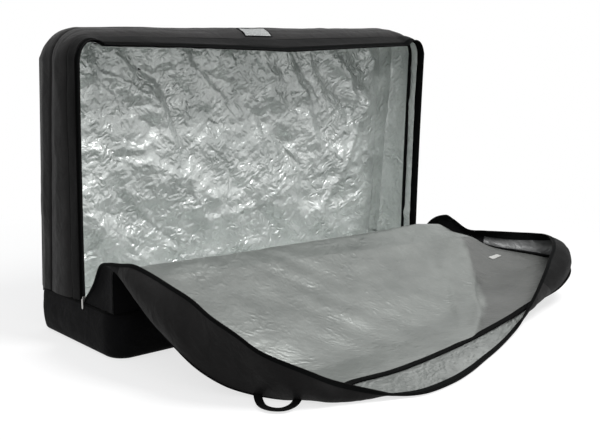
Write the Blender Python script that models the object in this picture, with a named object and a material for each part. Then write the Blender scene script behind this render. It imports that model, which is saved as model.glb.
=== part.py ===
"""A soft travel bag for a bicycle, standing on its long side with its lid unzipped and laid down in front.

The base is a padded boot that reaches the whole depth. Above it the bag is only as deep as the rear part,
and the lid carries the front part of the depth as a gusset along its left, far and right edges.
The origin is the centre of the boot's underside, +X runs along the bag and +Z up, and the lid opens to -Y.
All lengths are in metres.
"""

import math

import bmesh
import bpy
from mathutils import Matrix, Vector

# Overall sizes of the bag
LENGTH = 1.25
DEPTH = 0.39
HEIGHT = 0.826
CORNER_RADIUS = 0.070
BOOT_HEIGHT = 0.124
BOOT_CORNER_RADIUS = 0.050
BOOT_PROUD = 0.004
ZIP_DEPTH = 0.150
RIDGE_HEIGHT = 0.250
GAP = 0.0003

# How the standing body leans and sags: its back leans forward, and its top sags towards the zip
BACK_LEAN = 0.040
ZIP_SAG = 0.052
BACK_SAG = 0.012
ZIP_CORNER_RADIUS = 0.045

# The padded wall, from the outside in
SHELL = 0.0020
FOAM = 0.0060
LINING = 0.0012
BOARD = 0.0030

# Strips, bindings and the zip
ZIP_TAPE_WIDTH = 0.013
ZIP_TAPE = 0.0012
CHAIN_WIDTH = 0.0024
CHAIN = 0.0030
CHAIN_INSET = 0.0012
LID_CHAIN_CLEAR = 0.0008
BINDING_WIDTH = 0.008
BINDING = 0.0025
MID_SEAM_WIDTH = 0.004
FRONT_STRIP_DEPTH = 0.150

# The lining's swell and main folds on the back panel
LINING_SWELL = 0.014
FOLD_HEIGHT = 0.014
FOLD_WIDTH = 0.055
SWELL_RIM = 0.060

# The lid as it lies in front
LID_LENGTH = 0.535
LID_SWAY_WIDTH = 0.155
GUSSET_RISE = 0.0006
LID_SAG = 0.028
FLAP_WIDTH = 0.122
FLAP_NARROWING = 0.045
RIGHT_FLAP_WIDTH = 0.085
RIGHT_FLAP_LIFT = math.radians(55)
FLAP_DROP_LEFT = math.radians(2)
FLAP_DROP_RIGHT = math.radians(35)
SEAM_BINDING_WIDTH = 0.012
SEAM_BINDING_INSET = 0.004
SEAM_BINDING_SEAT = 0.0009

# The point that the lid turns about in its own plane when its swayed cloth straightens
LID_SLOPE = math.radians(26)
SWING_FROM_LEFT = 0.300
SWING_BEHIND_RIDGE = 0.060

# Window, label and handle
WINDOW_LENGTH = 0.100
WINDOW_DEPTH = 0.046
WINDOW = 0.0012
WINDOW_FROM_LEFT = 0.572
WINDOW_BEHIND_TAPE = 0.030
LABEL_LENGTH = 0.042
LABEL = 0.0008
HANDLE_BOW = 0.036
HANDLE_STRAP = 0.016
HANDLE_THICKNESS = 0.005
HANDLE_CLEAR = 0.0007

# Zip sliders and their pulls
SLIDER_LENGTH = 0.013
SLIDER_LIP = 0.0030
SLIDER_PLATE = 0.0016
SLIDER_PLAY = 0.0006
EAR_WIDTH = 0.0030
PULL_LENGTH = 0.026
PULL_WIDTH = 0.007
PULL = 0.0018
PULL_HEAD = 0.0006
STOP_LENGTH = 0.004

# Steps of round and soft shapes
CORNER_STEPS = 8
LID_STEPS_ACROSS = 10
LID_STEPS_DOWN = 10
LINING_STEPS_ACROSS = 30
LINING_STEPS_DOWN = 18
HANDLE_STEPS = 10
SLOPE_SHARE = 0.001
SHARP_ANGLE = math.radians(35)

# Where the lid's panel leaves the fold, as shares of its length from the ridge to the far seam
FOLD_END_LEFT_SHARE = 0.150
FOLD_END_RIGHT_SHARE = 0.060

# Edges of the lying lid, from the bag's own end, as shares of (LID_SWAY_WIDTH, LID_LENGTH, RIDGE_HEIGHT)
LEFT_SEAM_SHARES = (
    (0.00, 0.00, 0.98),
    (0.00, 0.15, 0.80),
    (0.02, 0.31, 0.56),
    (0.10, 0.46, 0.38),
    (0.26, 0.60, 0.21),
    (0.52, 0.72, 0.06),
    (0.77, 0.83, 0.00),
    (1.19, 0.96, 0.00),
    (1.68, 1.00, 0.00),
)
RIGHT_SEAM_SHARES = ((0.00, 0.00, 0.93), (1.00, 0.645, 0.30))
LEFT_ZIP_SHARES = (
    (0.08, 0.235, 1.075),
    (0.12, 0.410, 0.980),
    (0.16, 0.570, 0.890),
    (0.22, 0.715, 0.800),
    (0.40, 0.840, 0.660),
    (0.70, 0.950, 0.480),
    (1.10, 1.030, 0.340),
)
HANDLE_SHARES = (0.60, 0.90)
TOP_FLAP_SHARES = (0.02, 0.93)
RIGHT_FLAP_SHARES = (0.10, 0.97)
LABEL_ACROSS_SHARES = (0.915, 0.950)
LABEL_DOWN_SHARE = 0.42

# The back lining's main folds: two ends as shares of the body's length and height, and a share of FOLD_HEIGHT
BACK_FOLD_SHARES = (
    ((0.12, 0.82), (0.28, 0.69), 1.0),
    ((0.23, 0.92), (0.42, 0.64), -0.8),
    ((0.33, 0.92), (0.46, 0.69), 0.7),
    ((0.10, 0.55), (0.46, 0.24), 1.0),
    ((0.09, 0.42), (0.30, 0.15), -0.8),
    ((0.59, 0.71), (0.84, 0.41), 0.8),
    ((0.74, 0.91), (0.90, 0.74), -0.7),
    ((0.95, 0.51), (0.78, 0.19), -0.8),
)

# The gussets' rooted ends and the arches over the fold, in the plane of the bag's end:
# shares of ZIP_DEPTH behind the front, and of the rise from the boot to the ridge
ROOT_TIP_SHARE = 0.93
ROOT_SHARES = ((0.46, 0.73), (0.14, 0.95))
ARCH_SHARES = (
    (-0.02, 0.98),
    (0.42, 0.83),
    (0.28, 1.00),
    (0.08, 1.08),
    (-0.25, 1.15),
    (-0.74, 1.15),
    (-0.54, 0.745),
)

WALL = SHELL + FOAM + LINING + 2 * GAP
SKIN = SHELL + LINING + GAP
X_LEFT = -LENGTH / 2
Y_FRONT = -DEPTH / 2
Y_BACK = DEPTH / 2
Y_ZIP = Y_FRONT + ZIP_DEPTH
Y_STRIP = Y_ZIP + ZIP_TAPE_WIDTH + GAP
Y_STRIP_END = Y_BACK - SHELL - FOAM - 2 * GAP
Y_MID_SEAM = Y_ZIP + FRONT_STRIP_DEPTH
BODY_FLOOR = BOOT_HEIGHT + GAP
FLOOR_TOP = SHELL + GAP
TAPE_INSET = CHAIN_INSET + (CHAIN - ZIP_TAPE) / 2
CHAIN_FLOOR = BODY_FLOOR + STOP_LENGTH + 2 * GAP


def clear_scene():
    for old in list(bpy.data.objects):
        bpy.data.objects.remove(old)


def make_material(name, colour, roughness, metallic=0.0):
    material = bpy.data.materials.new(name)
    material.use_nodes = True
    shader = material.node_tree.nodes["Principled BSDF"]
    shader.inputs["Base Color"].default_value = (*colour, 1.0)
    shader.inputs["Roughness"].default_value = roughness
    shader.inputs["Metallic"].default_value = metallic
    return material


def make_axis(name, point, parent=None):
    """An empty on a joint's axis, which carries the pieces that the joint moves."""
    axis = bpy.data.objects.new(name, None)
    bpy.context.scene.collection.objects.link(axis)
    axis.location = point
    if parent is not None:
        axis.parent = parent
        axis.matrix_parent_inverse = Matrix.Translation(-world_place(parent))
    return axis


def world_place(axis):
    """Where an axis stands in the bag's frame. Each one is only moved, never turned."""
    return axis.location.copy()


def add_piece(name, shape, material, axis=None):
    """Makes the object of a shape drawn in the bag's frame, hung on its joint's axis if it moves."""
    bmesh.ops.recalc_face_normals(shape, faces=shape.faces)
    mesh = bpy.data.meshes.new(name)
    shape.to_mesh(mesh)
    shape.free()
    piece = bpy.data.objects.new(name, mesh)
    bpy.context.scene.collection.objects.link(piece)
    mesh.materials.append(material)
    if axis is not None:
        mesh.transform(Matrix.Translation(-world_place(axis)))
        piece.parent = axis
    mesh.shade_smooth()
    mesh.set_sharp_from_angle(angle=SHARP_ANGLE)
    return piece


def arc(centre, radius, start, end, steps=CORNER_STEPS):
    """Points of an arc in a plane, from one angle to the other."""
    angles = (start + (end - start) * step / steps for step in range(steps + 1))
    return [(centre[0] + radius * math.cos(a), centre[1] + radius * math.sin(a)) for a in angles]


def top_level(depth):
    """How high the body's top is at a depth: it sags from the middle seam towards the zip and the back."""
    if depth < Y_MID_SEAM:
        return HEIGHT - ZIP_SAG * (Y_MID_SEAM - depth) / (Y_MID_SEAM - Y_ZIP)
    return HEIGHT - BACK_SAG * (depth - Y_MID_SEAM) / (Y_BACK - Y_MID_SEAM)


def leaning(depth, level):
    """A place's depth with the body's lean, which grows from none at the zip towards the back and the top."""
    share = min(max((depth - Y_STRIP) / (Y_STRIP_END - Y_STRIP), 0), 1)
    return depth - BACK_LEAN * share * (level - BODY_FLOOR) / (HEIGHT - BODY_FLOOR)


def arch_line(inset, floor, depth):
    """The body's outline at a depth, up the left end, over the top and down the right end."""
    share = min(max((depth - Y_ZIP) / (Y_MID_SEAM - Y_ZIP), 0), 1)
    side = LENGTH / 2 - inset
    top = top_level(depth) - inset
    radius = mix(ZIP_CORNER_RADIUS, CORNER_RADIUS, share) - inset
    left = arc((radius - side, top - radius), radius, math.pi, math.pi / 2)
    right = arc((side - radius, top - radius), radius, math.pi / 2, 0)
    flat = [(-side, floor), *left, *right, (side, floor)]
    return [Vector((x, leaning(depth, z), z)) for x, z in flat]


def boot_line(inset):
    """The boot's outline from above, as (x, y), closed."""
    long = LENGTH / 2 + BOOT_PROUD - inset
    deep = DEPTH / 2 + BOOT_PROUD - inset
    radius = BOOT_CORNER_RADIUS - inset
    line = []
    for quarter, (x, y) in enumerate(((1, 1), (-1, 1), (-1, -1), (1, -1))):
        start = quarter * math.pi / 2
        line += arc((x * (long - radius), y * (deep - radius)), radius, start, start + math.pi / 2)
    return line


def in_axes(flat, depth, across):
    """A flat point, with its depth along the axis that it is pulled along: X, Y or Z."""
    first, second = flat
    places = {"X": (depth, first, second), "Y": (first, depth, second), "Z": (first, second, depth)}
    return Vector(places[across])


def pulled(outline, low, high, across):
    """A flat outline pulled from one depth to another along an axis."""
    shape = bmesh.new()
    face = shape.faces.new([shape.verts.new(in_axes(flat, low, across)) for flat in outline])
    grown = bmesh.ops.extrude_face_region(shape, geom=[face])
    far = [item for item in grown["geom"] if isinstance(item, bmesh.types.BMVert)]
    bmesh.ops.translate(shape, verts=far, vec=in_axes((0, 0), high - low, across))
    return shape


def lofted(outlines):
    """A closed shape through flat outlines with equally many points. Its sides are triangles."""
    shape = bmesh.new()
    loops = [[shape.verts.new(point) for point in outline] for outline in outlines]
    shape.faces.new(loops[0])
    shape.faces.new(loops[-1])
    for first, second in zip(loops, loops[1:]):
        for step, corner in enumerate(first):
            after = (step + 1) % len(first)
            shape.faces.new((corner, first[after], second[after]))
            shape.faces.new((corner, second[after], second[step]))
    return shape


def arch_band(outer_inset, inner_inset, low, high, floor=BODY_FLOOR):
    """A strip of the gusset that runs up the left end, over the top and down the right end."""
    depths = [low, Y_MID_SEAM, high] if low < Y_MID_SEAM < high else [low, high]
    return lofted([arch_line(outer_inset, floor, y) + arch_line(inner_inset, floor, y)[::-1] for y in depths])


def ring_band(outer_inset, inner_inset, low, high):
    """A strip that runs all the way round the boot."""
    shape = bmesh.new()
    loops = []
    for inset, level in ((outer_inset, low), (outer_inset, high), (inner_inset, high), (inner_inset, low)):
        loops.append([shape.verts.new((x, y, level)) for x, y in boot_line(inset)])
    count = len(loops[0])
    for first, second in zip(loops, loops[1:] + loops[:1]):
        for step in range(count):
            after = (step + 1) % count
            shape.faces.new((first[step], first[after], second[after], second[step]))
    return shape


def slab(point, low, high, columns, rows):
    """A soft sheet between two heights over a surface. point takes shares across and down, and a height.

    Every sheet is cut into triangles along the same diagonals, so that sheets on each other stay apart.
    """
    shape = bmesh.new()
    layers = []
    for height in (low, high):
        layer = [
            [shape.verts.new(point(column / columns, row / rows, height)) for column in range(columns + 1)]
            for row in range(rows + 1)
        ]
        layers.append(layer)
    below, above = layers
    for row in range(rows):
        for column in range(columns):
            here, opposite = (row, column), (row + 1, column + 1)
            for third in ((row, column + 1), (row + 1, column)):
                shape.faces.new([below[r][c] for r, c in (here, opposite, third)])
                shape.faces.new([above[r][c] for r, c in (here, opposite, third)])
    rim = [(0, column) for column in range(columns)]
    rim += [(row, columns) for row in range(rows)]
    rim += [(rows, column) for column in range(columns, 0, -1)]
    rim += [(row, 0) for row in range(rows, 0, -1)]
    for (r, c), (next_r, next_c) in zip(rim, rim[1:] + rim[:1]):
        shape.faces.new((below[r][c], below[next_r][next_c], above[next_r][next_c], above[r][c]))
    return shape


def on_curve(points, share):
    """A point on the smooth curve through the given points, at a share of their spans."""
    spans = len(points) - 1
    reach = min(max(share, 0), 1) * spans
    span = min(int(reach), spans - 1)
    t = reach - span
    a = points[span]
    b = points[span + 1]
    before = points[span - 1] if span else a + (a - b)
    after = points[span + 2] if span + 2 <= spans else b + (b - a)
    bend = 2 * before - 5 * a + 4 * b - after
    twist = 3 * a - before - 3 * b + after
    return (2 * a + (b - before) * t + bend * t**2 + twist * t**3) / 2


def mix(start, end, share):
    return start + (end - start) * share


def lid_edge(shares, end_x):
    """The points of an edge of the lying lid, from a table of shares."""
    near = Y_FRONT - GAP
    sway, reach, rise = LID_SWAY_WIDTH, LID_LENGTH, RIDGE_HEIGHT
    return [Vector((end_x + sway * x, near - reach * y, rise * z)) for x, y, z in shares]


LEFT_SEAM = lid_edge(LEFT_SEAM_SHARES, X_LEFT)
RIGHT_SEAM = lid_edge(RIGHT_SEAM_SHARES, -X_LEFT)
LEFT_ZIP = lid_edge(LEFT_ZIP_SHARES, X_LEFT)


def lid_underside(across, down):
    point = mix(on_curve(LEFT_SEAM, down), on_curve(RIGHT_SEAM, down), across)
    sag = LID_SAG * math.sin(math.pi * across) * math.sin(math.pi * down**2)
    point.z = max(point.z - sag, 0)
    return point


def lid_normal(across, down):
    """The upward normal of the lying lid."""
    across = min(max(across, SLOPE_SHARE), 1 - SLOPE_SHARE)
    down = min(max(down, SLOPE_SHARE), 1 - SLOPE_SHARE)
    along = lid_underside(across + SLOPE_SHARE, down) - lid_underside(across - SLOPE_SHARE, down)
    away = lid_underside(across, down + SLOPE_SHARE) - lid_underside(across, down - SLOPE_SHARE)
    return away.cross(along).normalized()


def lid_point(across, down, height):
    return lid_underside(across, down) + lid_normal(across, down) * height


def fold_end(across):
    """Where the fold strip ends and the panel starts: the line slants, so that the panel can straighten."""
    return mix(FOLD_END_LEFT_SHARE, FOLD_END_RIGHT_SHARE, across)


def panel_point(across, down, height):
    return lid_point(across, mix(fold_end(across), 1, down), height)


def fold_point(across, down, height):
    end = fold_end(across) - GAP / LID_LENGTH
    return lid_point(across, mix(0, end, down), height)


def edge_strip(end_across, inset, width):
    """The surface of a tape that lies on the panel along its left (0) or right (1) edge."""

    def point(across, down, height):
        share = (inset + width * across) / LENGTH
        return panel_point(share if end_across == 0 else 1 - share, down, height)

    return point


def far_strip(across, down, height):
    inset = (SEAM_BINDING_INSET + SEAM_BINDING_WIDTH * down) / LID_LENGTH
    ends = (SEAM_BINDING_WIDTH + 2 * SEAM_BINDING_INSET) / LENGTH
    return panel_point(mix(ends, 1 - ends, across), 1 - inset, height)


def left_gusset(near, far):
    """The standing left gusset, from a distance off the lid's seam to one short of its zip edge."""

    def point(across, down, height):
        foot = panel_point(0, down, WALL + GUSSET_RISE)
        edge = on_curve(LEFT_ZIP, down)
        rise = edge - foot
        after = panel_point(0, min(down + SLOPE_SHARE, 1), WALL)
        before = panel_point(0, max(down - SLOPE_SHARE, 0), WALL)
        outward = (after - before).cross(rise).normalized()
        start = foot + rise.normalized() * near
        end = edge - rise.normalized() * far
        return mix(start, end, across) + outward * height

    return point


def flap(line, shares, out, narrowing, near, far):
    """A flap that hangs on a straight seam. Height 0 is its lined face, and its nylon lies below that.

    out gives its direction at a share of the seam, and narrowing is the width it has lost at the seam's end.
    """
    start, end = line

    def point(across, down, height):
        share = mix(*shares, across)
        away = out(share)
        up = (end - start).cross(away).normalized()
        if up.z < 0:
            up = -up
        lost = narrowing * share
        reach = mix(max(near - lost, 0), far - lost, down)
        return mix(start, end, share) + away * reach + up * height

    return point


def far_line():
    """The far seam on the lined face, which is the axis of the flap beyond it."""
    ahead = Vector((0, -GAP, 0))
    return lid_point(0, 1, WALL) + ahead, lid_point(1, 1, WALL) + ahead


def right_line():
    """The right seam on the lined face, which is the axis of the right gusset."""
    aside = Vector((GAP, 0, 0))
    return lid_point(1, FOLD_END_RIGHT_SHARE, WALL) + aside, lid_point(1, 1, WALL) + aside


def far_flap(near, far):
    start, end = far_line()
    level = (end - start).cross(Vector((0, 0, 1))).normalized()

    def out(share):
        drop = mix(FLAP_DROP_LEFT, FLAP_DROP_RIGHT, share)
        return level * math.cos(drop) - Vector((0, 0, math.sin(drop)))

    return flap((start, end), TOP_FLAP_SHARES, out, FLAP_NARROWING, near, far)


def right_flap(near, far):
    start, end = right_line()
    normal = lid_normal(1, 1 / 2)
    level = normal.cross(start - end).normalized()
    if level.x < 0:
        level = -level
    lifted = level * math.cos(RIGHT_FLAP_LIFT) + normal * math.sin(RIGHT_FLAP_LIFT)
    return flap((start, end), RIGHT_FLAP_SHARES, lambda share: lifted, 0, near, far)


def add_boot(nylon, foam, lining, board, binding):
    top = BOOT_HEIGHT
    add_piece("base_floor_shell", pulled(boot_line(0), 0, SHELL, "Z"), nylon)
    add_piece("boot_wall_shell", ring_band(0, SHELL, FLOOR_TOP, top), nylon)
    inner = SHELL + GAP
    add_piece("boot_wall_foam", ring_band(inner, inner + FOAM, FLOOR_TOP, top), foam)
    inner += FOAM + GAP
    add_piece("boot_wall_lining", ring_band(inner, inner + LINING, FLOOR_TOP, top), lining)
    inner += LINING + GAP
    level = FLOOR_TOP
    add_piece("base_floor_foam", pulled(boot_line(inner), level, level + FOAM, "Z"), foam)
    level += FOAM + GAP
    add_piece("base_stiffener_board", pulled(boot_line(inner), level, level + BOARD, "Z"), board)
    level += BOARD + GAP
    add_piece("base_floor_lining", pulled(boot_line(inner), level, level + LINING, "Z"), lining)
    hem = ring_band(-BINDING, -GAP, BOOT_HEIGHT - BINDING_WIDTH, BOOT_HEIGHT)
    add_piece("boot_hem_binding", hem, binding)


def fold_height(across, up):
    """How far the back lining's main folds stand out at a place, given as shares of its length and height."""
    tall = HEIGHT - BODY_FLOOR
    place = Vector((across * LENGTH, up * tall))
    total = 0
    for (x0, z0), (x1, z1), share in BACK_FOLD_SHARES:
        start = Vector((x0 * LENGTH, z0 * tall))
        run = Vector((x1 * LENGTH, z1 * tall)) - start
        along = min(max((place - start).dot(run) / run.length_squared, 0), 1)
        reach = (place - start - run * along).length / FOLD_WIDTH
        total += FOLD_HEIGHT * share * max(1 - reach**2, 0) ** 2
    return total


def back_lining(across, down, height):
    """The lining inside the back panel, which swells and folds towards the front. Height runs forward."""
    inset = WALL + GAP
    side = LENGTH / 2 - inset
    radius = CORNER_RADIUS - inset
    x = mix(-side, side, across)
    top = top_level(Y_BACK) - inset - radius
    top += math.sqrt(radius**2 - max(abs(x) - side + radius, 0) ** 2)
    z = mix(BODY_FLOOR, top, down)
    rim = min(side - abs(x), top - z, z - BODY_FLOOR) / SWELL_RIM
    relief = (LINING_SWELL + fold_height(across, down)) * math.sin(min(max(rim, 0), 1) * math.pi / 2)
    return Vector((x, leaning(Y_STRIP_END, z) - relief - height, z))


def add_body(nylon, foam, lining, binding, tape, coil, window):
    def back(low, high):
        return lofted([arch_line(0, BODY_FLOOR, depth) for depth in (low, high)])

    add_piece("back_panel_shell", back(Y_BACK - SHELL, Y_BACK), nylon)
    level = Y_BACK - SHELL - GAP
    add_piece("back_panel_foam", back(level - FOAM, level), foam)
    crinkled = slab(back_lining, 0, LINING, LINING_STEPS_ACROSS, LINING_STEPS_DOWN)
    add_piece("back_panel_lining", crinkled, lining)

    seam = GAP / 2
    add_piece("rear_gusset_shell", arch_band(0, SHELL, Y_MID_SEAM + seam, Y_STRIP_END), nylon)
    add_piece("front_gusset_shell", arch_band(0, SHELL, Y_STRIP, Y_MID_SEAM - seam), nylon)
    inner = SHELL + GAP
    add_piece("body_gusset_foam", arch_band(inner, inner + FOAM, Y_STRIP, Y_STRIP_END), foam)
    inner += FOAM + GAP
    add_piece("body_gusset_lining", arch_band(inner, inner + LINING, Y_STRIP, Y_STRIP_END), lining)

    half = MID_SEAM_WIDTH / 2
    floor = BODY_FLOOR + BINDING
    middle = arch_band(-BINDING, -GAP, Y_MID_SEAM - half, Y_MID_SEAM + half, floor)
    add_piece("mid_seam_binding", middle, binding)
    rear = arch_band(-BINDING, -GAP, Y_BACK - BINDING_WIDTH, Y_BACK, floor)
    add_piece("back_seam_binding", rear, binding)

    tape_band = arch_band(TAPE_INSET, TAPE_INSET + ZIP_TAPE, Y_ZIP + GAP, Y_ZIP + ZIP_TAPE_WIDTH)
    add_piece("body_zip_tape", tape_band, tape)
    chain = arch_band(CHAIN_INSET, CHAIN_INSET + CHAIN, Y_ZIP - CHAIN_WIDTH, Y_ZIP, CHAIN_FLOOR)
    add_piece("body_zip_chain", chain, coil)

    start = X_LEFT + WINDOW_FROM_LEFT
    front = Y_STRIP + WINDOW_BEHIND_TAPE

    def card(across, down, height):
        depth = front + WINDOW_DEPTH * down
        top = top_level(depth)
        return Vector((start + WINDOW_LENGTH * across, leaning(depth, top), top + height))

    add_piece("blank_card_window", slab(card, GAP, GAP + WINDOW, 1, 1), window)


def end_plane(shares):
    """Points in the plane of the bag's end, as (y, z), from a table of shares."""
    rise = RIDGE_HEIGHT - BODY_FLOOR
    return [(Y_FRONT + ZIP_DEPTH * y, BODY_FLOOR + rise * z) for y, z in shares]


def add_lid_root(nylon, foam, lining):
    """The upright foot of the lid, from the boot up to the fold, and the foot of its gusset at each end."""

    def apron(start, end):
        top = on_curve(LEFT_SEAM, 0).z
        low = on_curve(RIGHT_SEAM, 0).z
        outline = ((X_LEFT, BODY_FLOOR), (-X_LEFT, BODY_FLOOR), (-X_LEFT, low), (X_LEFT, top))
        return pulled(outline, start, end, "Y")

    level = Y_FRONT
    add_piece("lid_foot_shell", apron(level, level + SHELL), nylon)
    level += SHELL + GAP
    add_piece("lid_foot_foam", apron(level, level + FOAM), foam)
    level += FOAM + GAP
    add_piece("lid_foot_lining", apron(level, level + LINING), lining)

    behind = Y_FRONT + WALL + GAP
    tip = Y_FRONT + ZIP_DEPTH * ROOT_TIP_SHARE
    outline = [(behind, BODY_FLOOR), (tip, BODY_FLOOR), *end_plane(ROOT_SHARES)]
    add_piece("left_gusset_root", pulled(outline, X_LEFT, X_LEFT + SHELL, "X"), nylon)
    add_piece("right_gusset_root", pulled(outline, -X_LEFT - SHELL, -X_LEFT, "X"), nylon)


def add_lid_fold(axis, nylon, lining):
    """The cloth that bends where the lid folds over its foot."""
    add_piece("lid_fold_shell", slab(fold_point, 0, SHELL, LID_STEPS_ACROSS, 2), nylon, axis)
    level = SHELL + GAP
    add_piece("lid_fold_lining", slab(fold_point, level, level + LINING, LID_STEPS_ACROSS, 2), lining, axis)
    arch = end_plane(ARCH_SHARES)
    left = pulled(arch, X_LEFT - GAP - SHELL, X_LEFT - GAP, "X")
    add_piece("left_gusset_arch", left, nylon, axis)
    right = pulled(arch, -X_LEFT + GAP, -X_LEFT + GAP + SHELL, "X")
    add_piece("right_gusset_arch", right, nylon, axis)


def add_lid_panel(axis, nylon, foam, lining, binding, label):
    def layer(low, thickness):
        return slab(panel_point, low, low + thickness, LID_STEPS_ACROSS, LID_STEPS_DOWN)

    add_piece("lid_panel_shell", layer(0, SHELL), nylon, axis)
    add_piece("lid_panel_foam", layer(SHELL + GAP, FOAM), foam, axis)
    add_piece("lid_panel_lining", layer(WALL - LINING, LINING), lining, axis)

    low = WALL + SEAM_BINDING_SEAT
    left = edge_strip(0, SEAM_BINDING_INSET, SEAM_BINDING_WIDTH)
    add_piece("lid_left_seam_binding", slab(left, low, low + ZIP_TAPE, 1, LID_STEPS_DOWN), binding, axis)
    right = edge_strip(1, SEAM_BINDING_INSET, SEAM_BINDING_WIDTH)
    add_piece("lid_right_seam_binding", slab(right, low, low + ZIP_TAPE, 1, LID_STEPS_DOWN), binding, axis)
    far = slab(far_strip, low, low + ZIP_TAPE, LID_STEPS_ACROSS, 1)
    add_piece("lid_far_seam_binding", far, binding, axis)

    def patch(across, down, height):
        end = LABEL_DOWN_SHARE + LABEL_LENGTH / LID_LENGTH
        return panel_point(mix(*LABEL_ACROSS_SHARES, across), mix(LABEL_DOWN_SHARE, end, down), height)

    add_piece("blank_care_label", slab(patch, low, low + LABEL, 1, 1), label, axis)


def add_left_gusset(axis, nylon, lining, tape, coil):
    zip_width = ZIP_TAPE_WIDTH + CHAIN_WIDTH + LID_CHAIN_CLEAR
    cloth = left_gusset(0, zip_width)
    add_piece("lid_left_gusset_lining", slab(cloth, 0, LINING, 2, LID_STEPS_DOWN), lining, axis)
    level = LINING + GAP
    add_piece("lid_left_gusset_shell", slab(cloth, level, level + SHELL, 2, LID_STEPS_DOWN), nylon, axis)
    add_zip_edge("lid_left", axis, tape, coil, left_zip_strip, 1, LID_STEPS_DOWN)


def left_zip_strip(start, end):
    """A strip of the left gusset, between two distances from its zip edge."""

    def point(across, down, height):
        edge = left_gusset(0, 0)(1, down, height)
        inner = left_gusset(0, ZIP_DEPTH / 2)(1, down, height)
        inward = (inner - edge).normalized()
        return edge + inward * mix(end, start, across)

    return point


def add_zip_edge(side, axis, tape, coil, strip, columns, rows):
    """The tape and the coil along one free edge of the lid."""
    chain_low = (SKIN - CHAIN) / 2
    tape_low = (SKIN - ZIP_TAPE) / 2
    ribbon = strip(CHAIN_WIDTH + LID_CHAIN_CLEAR, CHAIN_WIDTH + ZIP_TAPE_WIDTH)
    band = slab(ribbon, tape_low, tape_low + ZIP_TAPE, columns, rows)
    add_piece(side + "_zip_tape", band, tape, axis)
    chain = slab(strip(0, CHAIN_WIDTH), chain_low, chain_low + CHAIN, columns, rows)
    add_piece(side + "_zip_chain", chain, coil, axis)


def add_flap(side, make, width, axis, nylon, lining, tape, coil):
    """A gusset that swings about its own seam: the one beyond the far seam, or the one at the right end."""
    cloth = make(0, width - ZIP_TAPE_WIDTH - CHAIN_WIDTH - LID_CHAIN_CLEAR)
    add_piece(side + "_gusset_lining", slab(cloth, -LINING, 0, LID_STEPS_ACROSS, 2), lining, axis)
    level = LINING + GAP + SHELL
    add_piece(side + "_gusset_shell", slab(cloth, -level, SHELL - level, LID_STEPS_ACROSS, 2), nylon, axis)

    def strip(start, end):
        surface = make(width - end, width - start)

        def point(across, down, height):
            return surface(across, down, height - SKIN)

        return point

    add_zip_edge(side, axis, tape, coil, strip, LID_STEPS_ACROSS, 1)


def handle_line(offset, bow):
    """A line along the lid's far left corner on the floor, off its seam and bowed outwards."""
    line = []
    for step in range(HANDLE_STEPS + 1):
        share = step / HANDLE_STEPS
        down = mix(FOLD_END_LEFT_SHARE, 1, mix(*HANDLE_SHARES, share))
        seam = on_curve(LEFT_SEAM, down)
        ahead = on_curve(LEFT_SEAM, down + SLOPE_SHARE) - on_curve(LEFT_SEAM, down - SLOPE_SHARE)
        outward = Vector((ahead.y, -ahead.x, 0)).normalized()
        point = seam + outward * (offset + bow * math.sin(math.pi * share))
        line.append((point.x, point.y))
    return line


def add_handle(axis, webbing):
    """The webbing grab loop at the lid's far left corner."""
    inner = handle_line(HANDLE_CLEAR, HANDLE_BOW)
    outer = handle_line(HANDLE_CLEAR + HANDLE_STRAP / 2, HANDLE_BOW + HANDLE_STRAP / 2)
    add_piece("lid_grab_handle", pulled(inner + outer[::-1], 0, HANDLE_THICKNESS, "Z"), webbing, axis)


def slider_outline(side):
    """The slider in plan: two plates round the coil, a bridge before it and an ear outside."""
    inner = CHAIN_INSET + CHAIN + SLIDER_PLAY
    outer = CHAIN_INSET - SLIDER_PLAY
    front = Y_ZIP - CHAIN_WIDTH - SLIDER_PLAY
    back = Y_ZIP + SLIDER_LIP
    middle = (front - SLIDER_PLATE + back) / 2
    ear = -(BOOT_PROUD + BINDING + GAP)
    plan = (
        (outer - SLIDER_PLATE, back),
        (outer, back),
        (outer, front),
        (inner, front),
        (inner, back),
        (inner + SLIDER_PLATE, back),
        (inner + SLIDER_PLATE, front - SLIDER_PLATE),
        (outer - SLIDER_PLATE, front - SLIDER_PLATE),
        (outer - SLIDER_PLATE, middle - EAR_WIDTH / 2),
        (ear, middle - EAR_WIDTH / 2),
        (ear, middle + EAR_WIDTH / 2),
        (outer - SLIDER_PLATE, middle + EAR_WIDTH / 2),
    )
    return [(side * (LENGTH / 2 - inset), y) for inset, y in plan], middle


def add_slider(end, side, metal):
    """A zip slider at one end of the opening, with the pull that hangs from its ear."""
    outline, middle = slider_outline(side)
    floor = CHAIN_FLOOR + GAP
    run = make_axis(end + "_slider_axis", Vector((side * LENGTH / 2, middle, floor)))
    add_piece(end + "_zip_slider", pulled(outline, floor, floor + SLIDER_LENGTH, "Z"), metal, run)

    pin_height = floor + SLIDER_LENGTH / 2
    inner = side * (LENGTH / 2 + BOOT_PROUD + BINDING + 2 * GAP)
    outer = inner + side * PULL
    pin = Vector(((inner + outer) / 2, middle, pin_height))
    half = PULL_WIDTH / 2
    tab = [(middle + half, pin_height + PULL_HEAD), (middle - half, pin_height + PULL_HEAD)]
    tab += arc((middle, pin_height - PULL_LENGTH + half), half, math.pi, 2 * math.pi, CORNER_STEPS)
    pull = pulled(tab, min(inner, outer), max(inner, outer), "X")
    add_piece(end + "_zip_pull", pull, metal, make_axis(end + "_pull_axis", pin, run))


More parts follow.
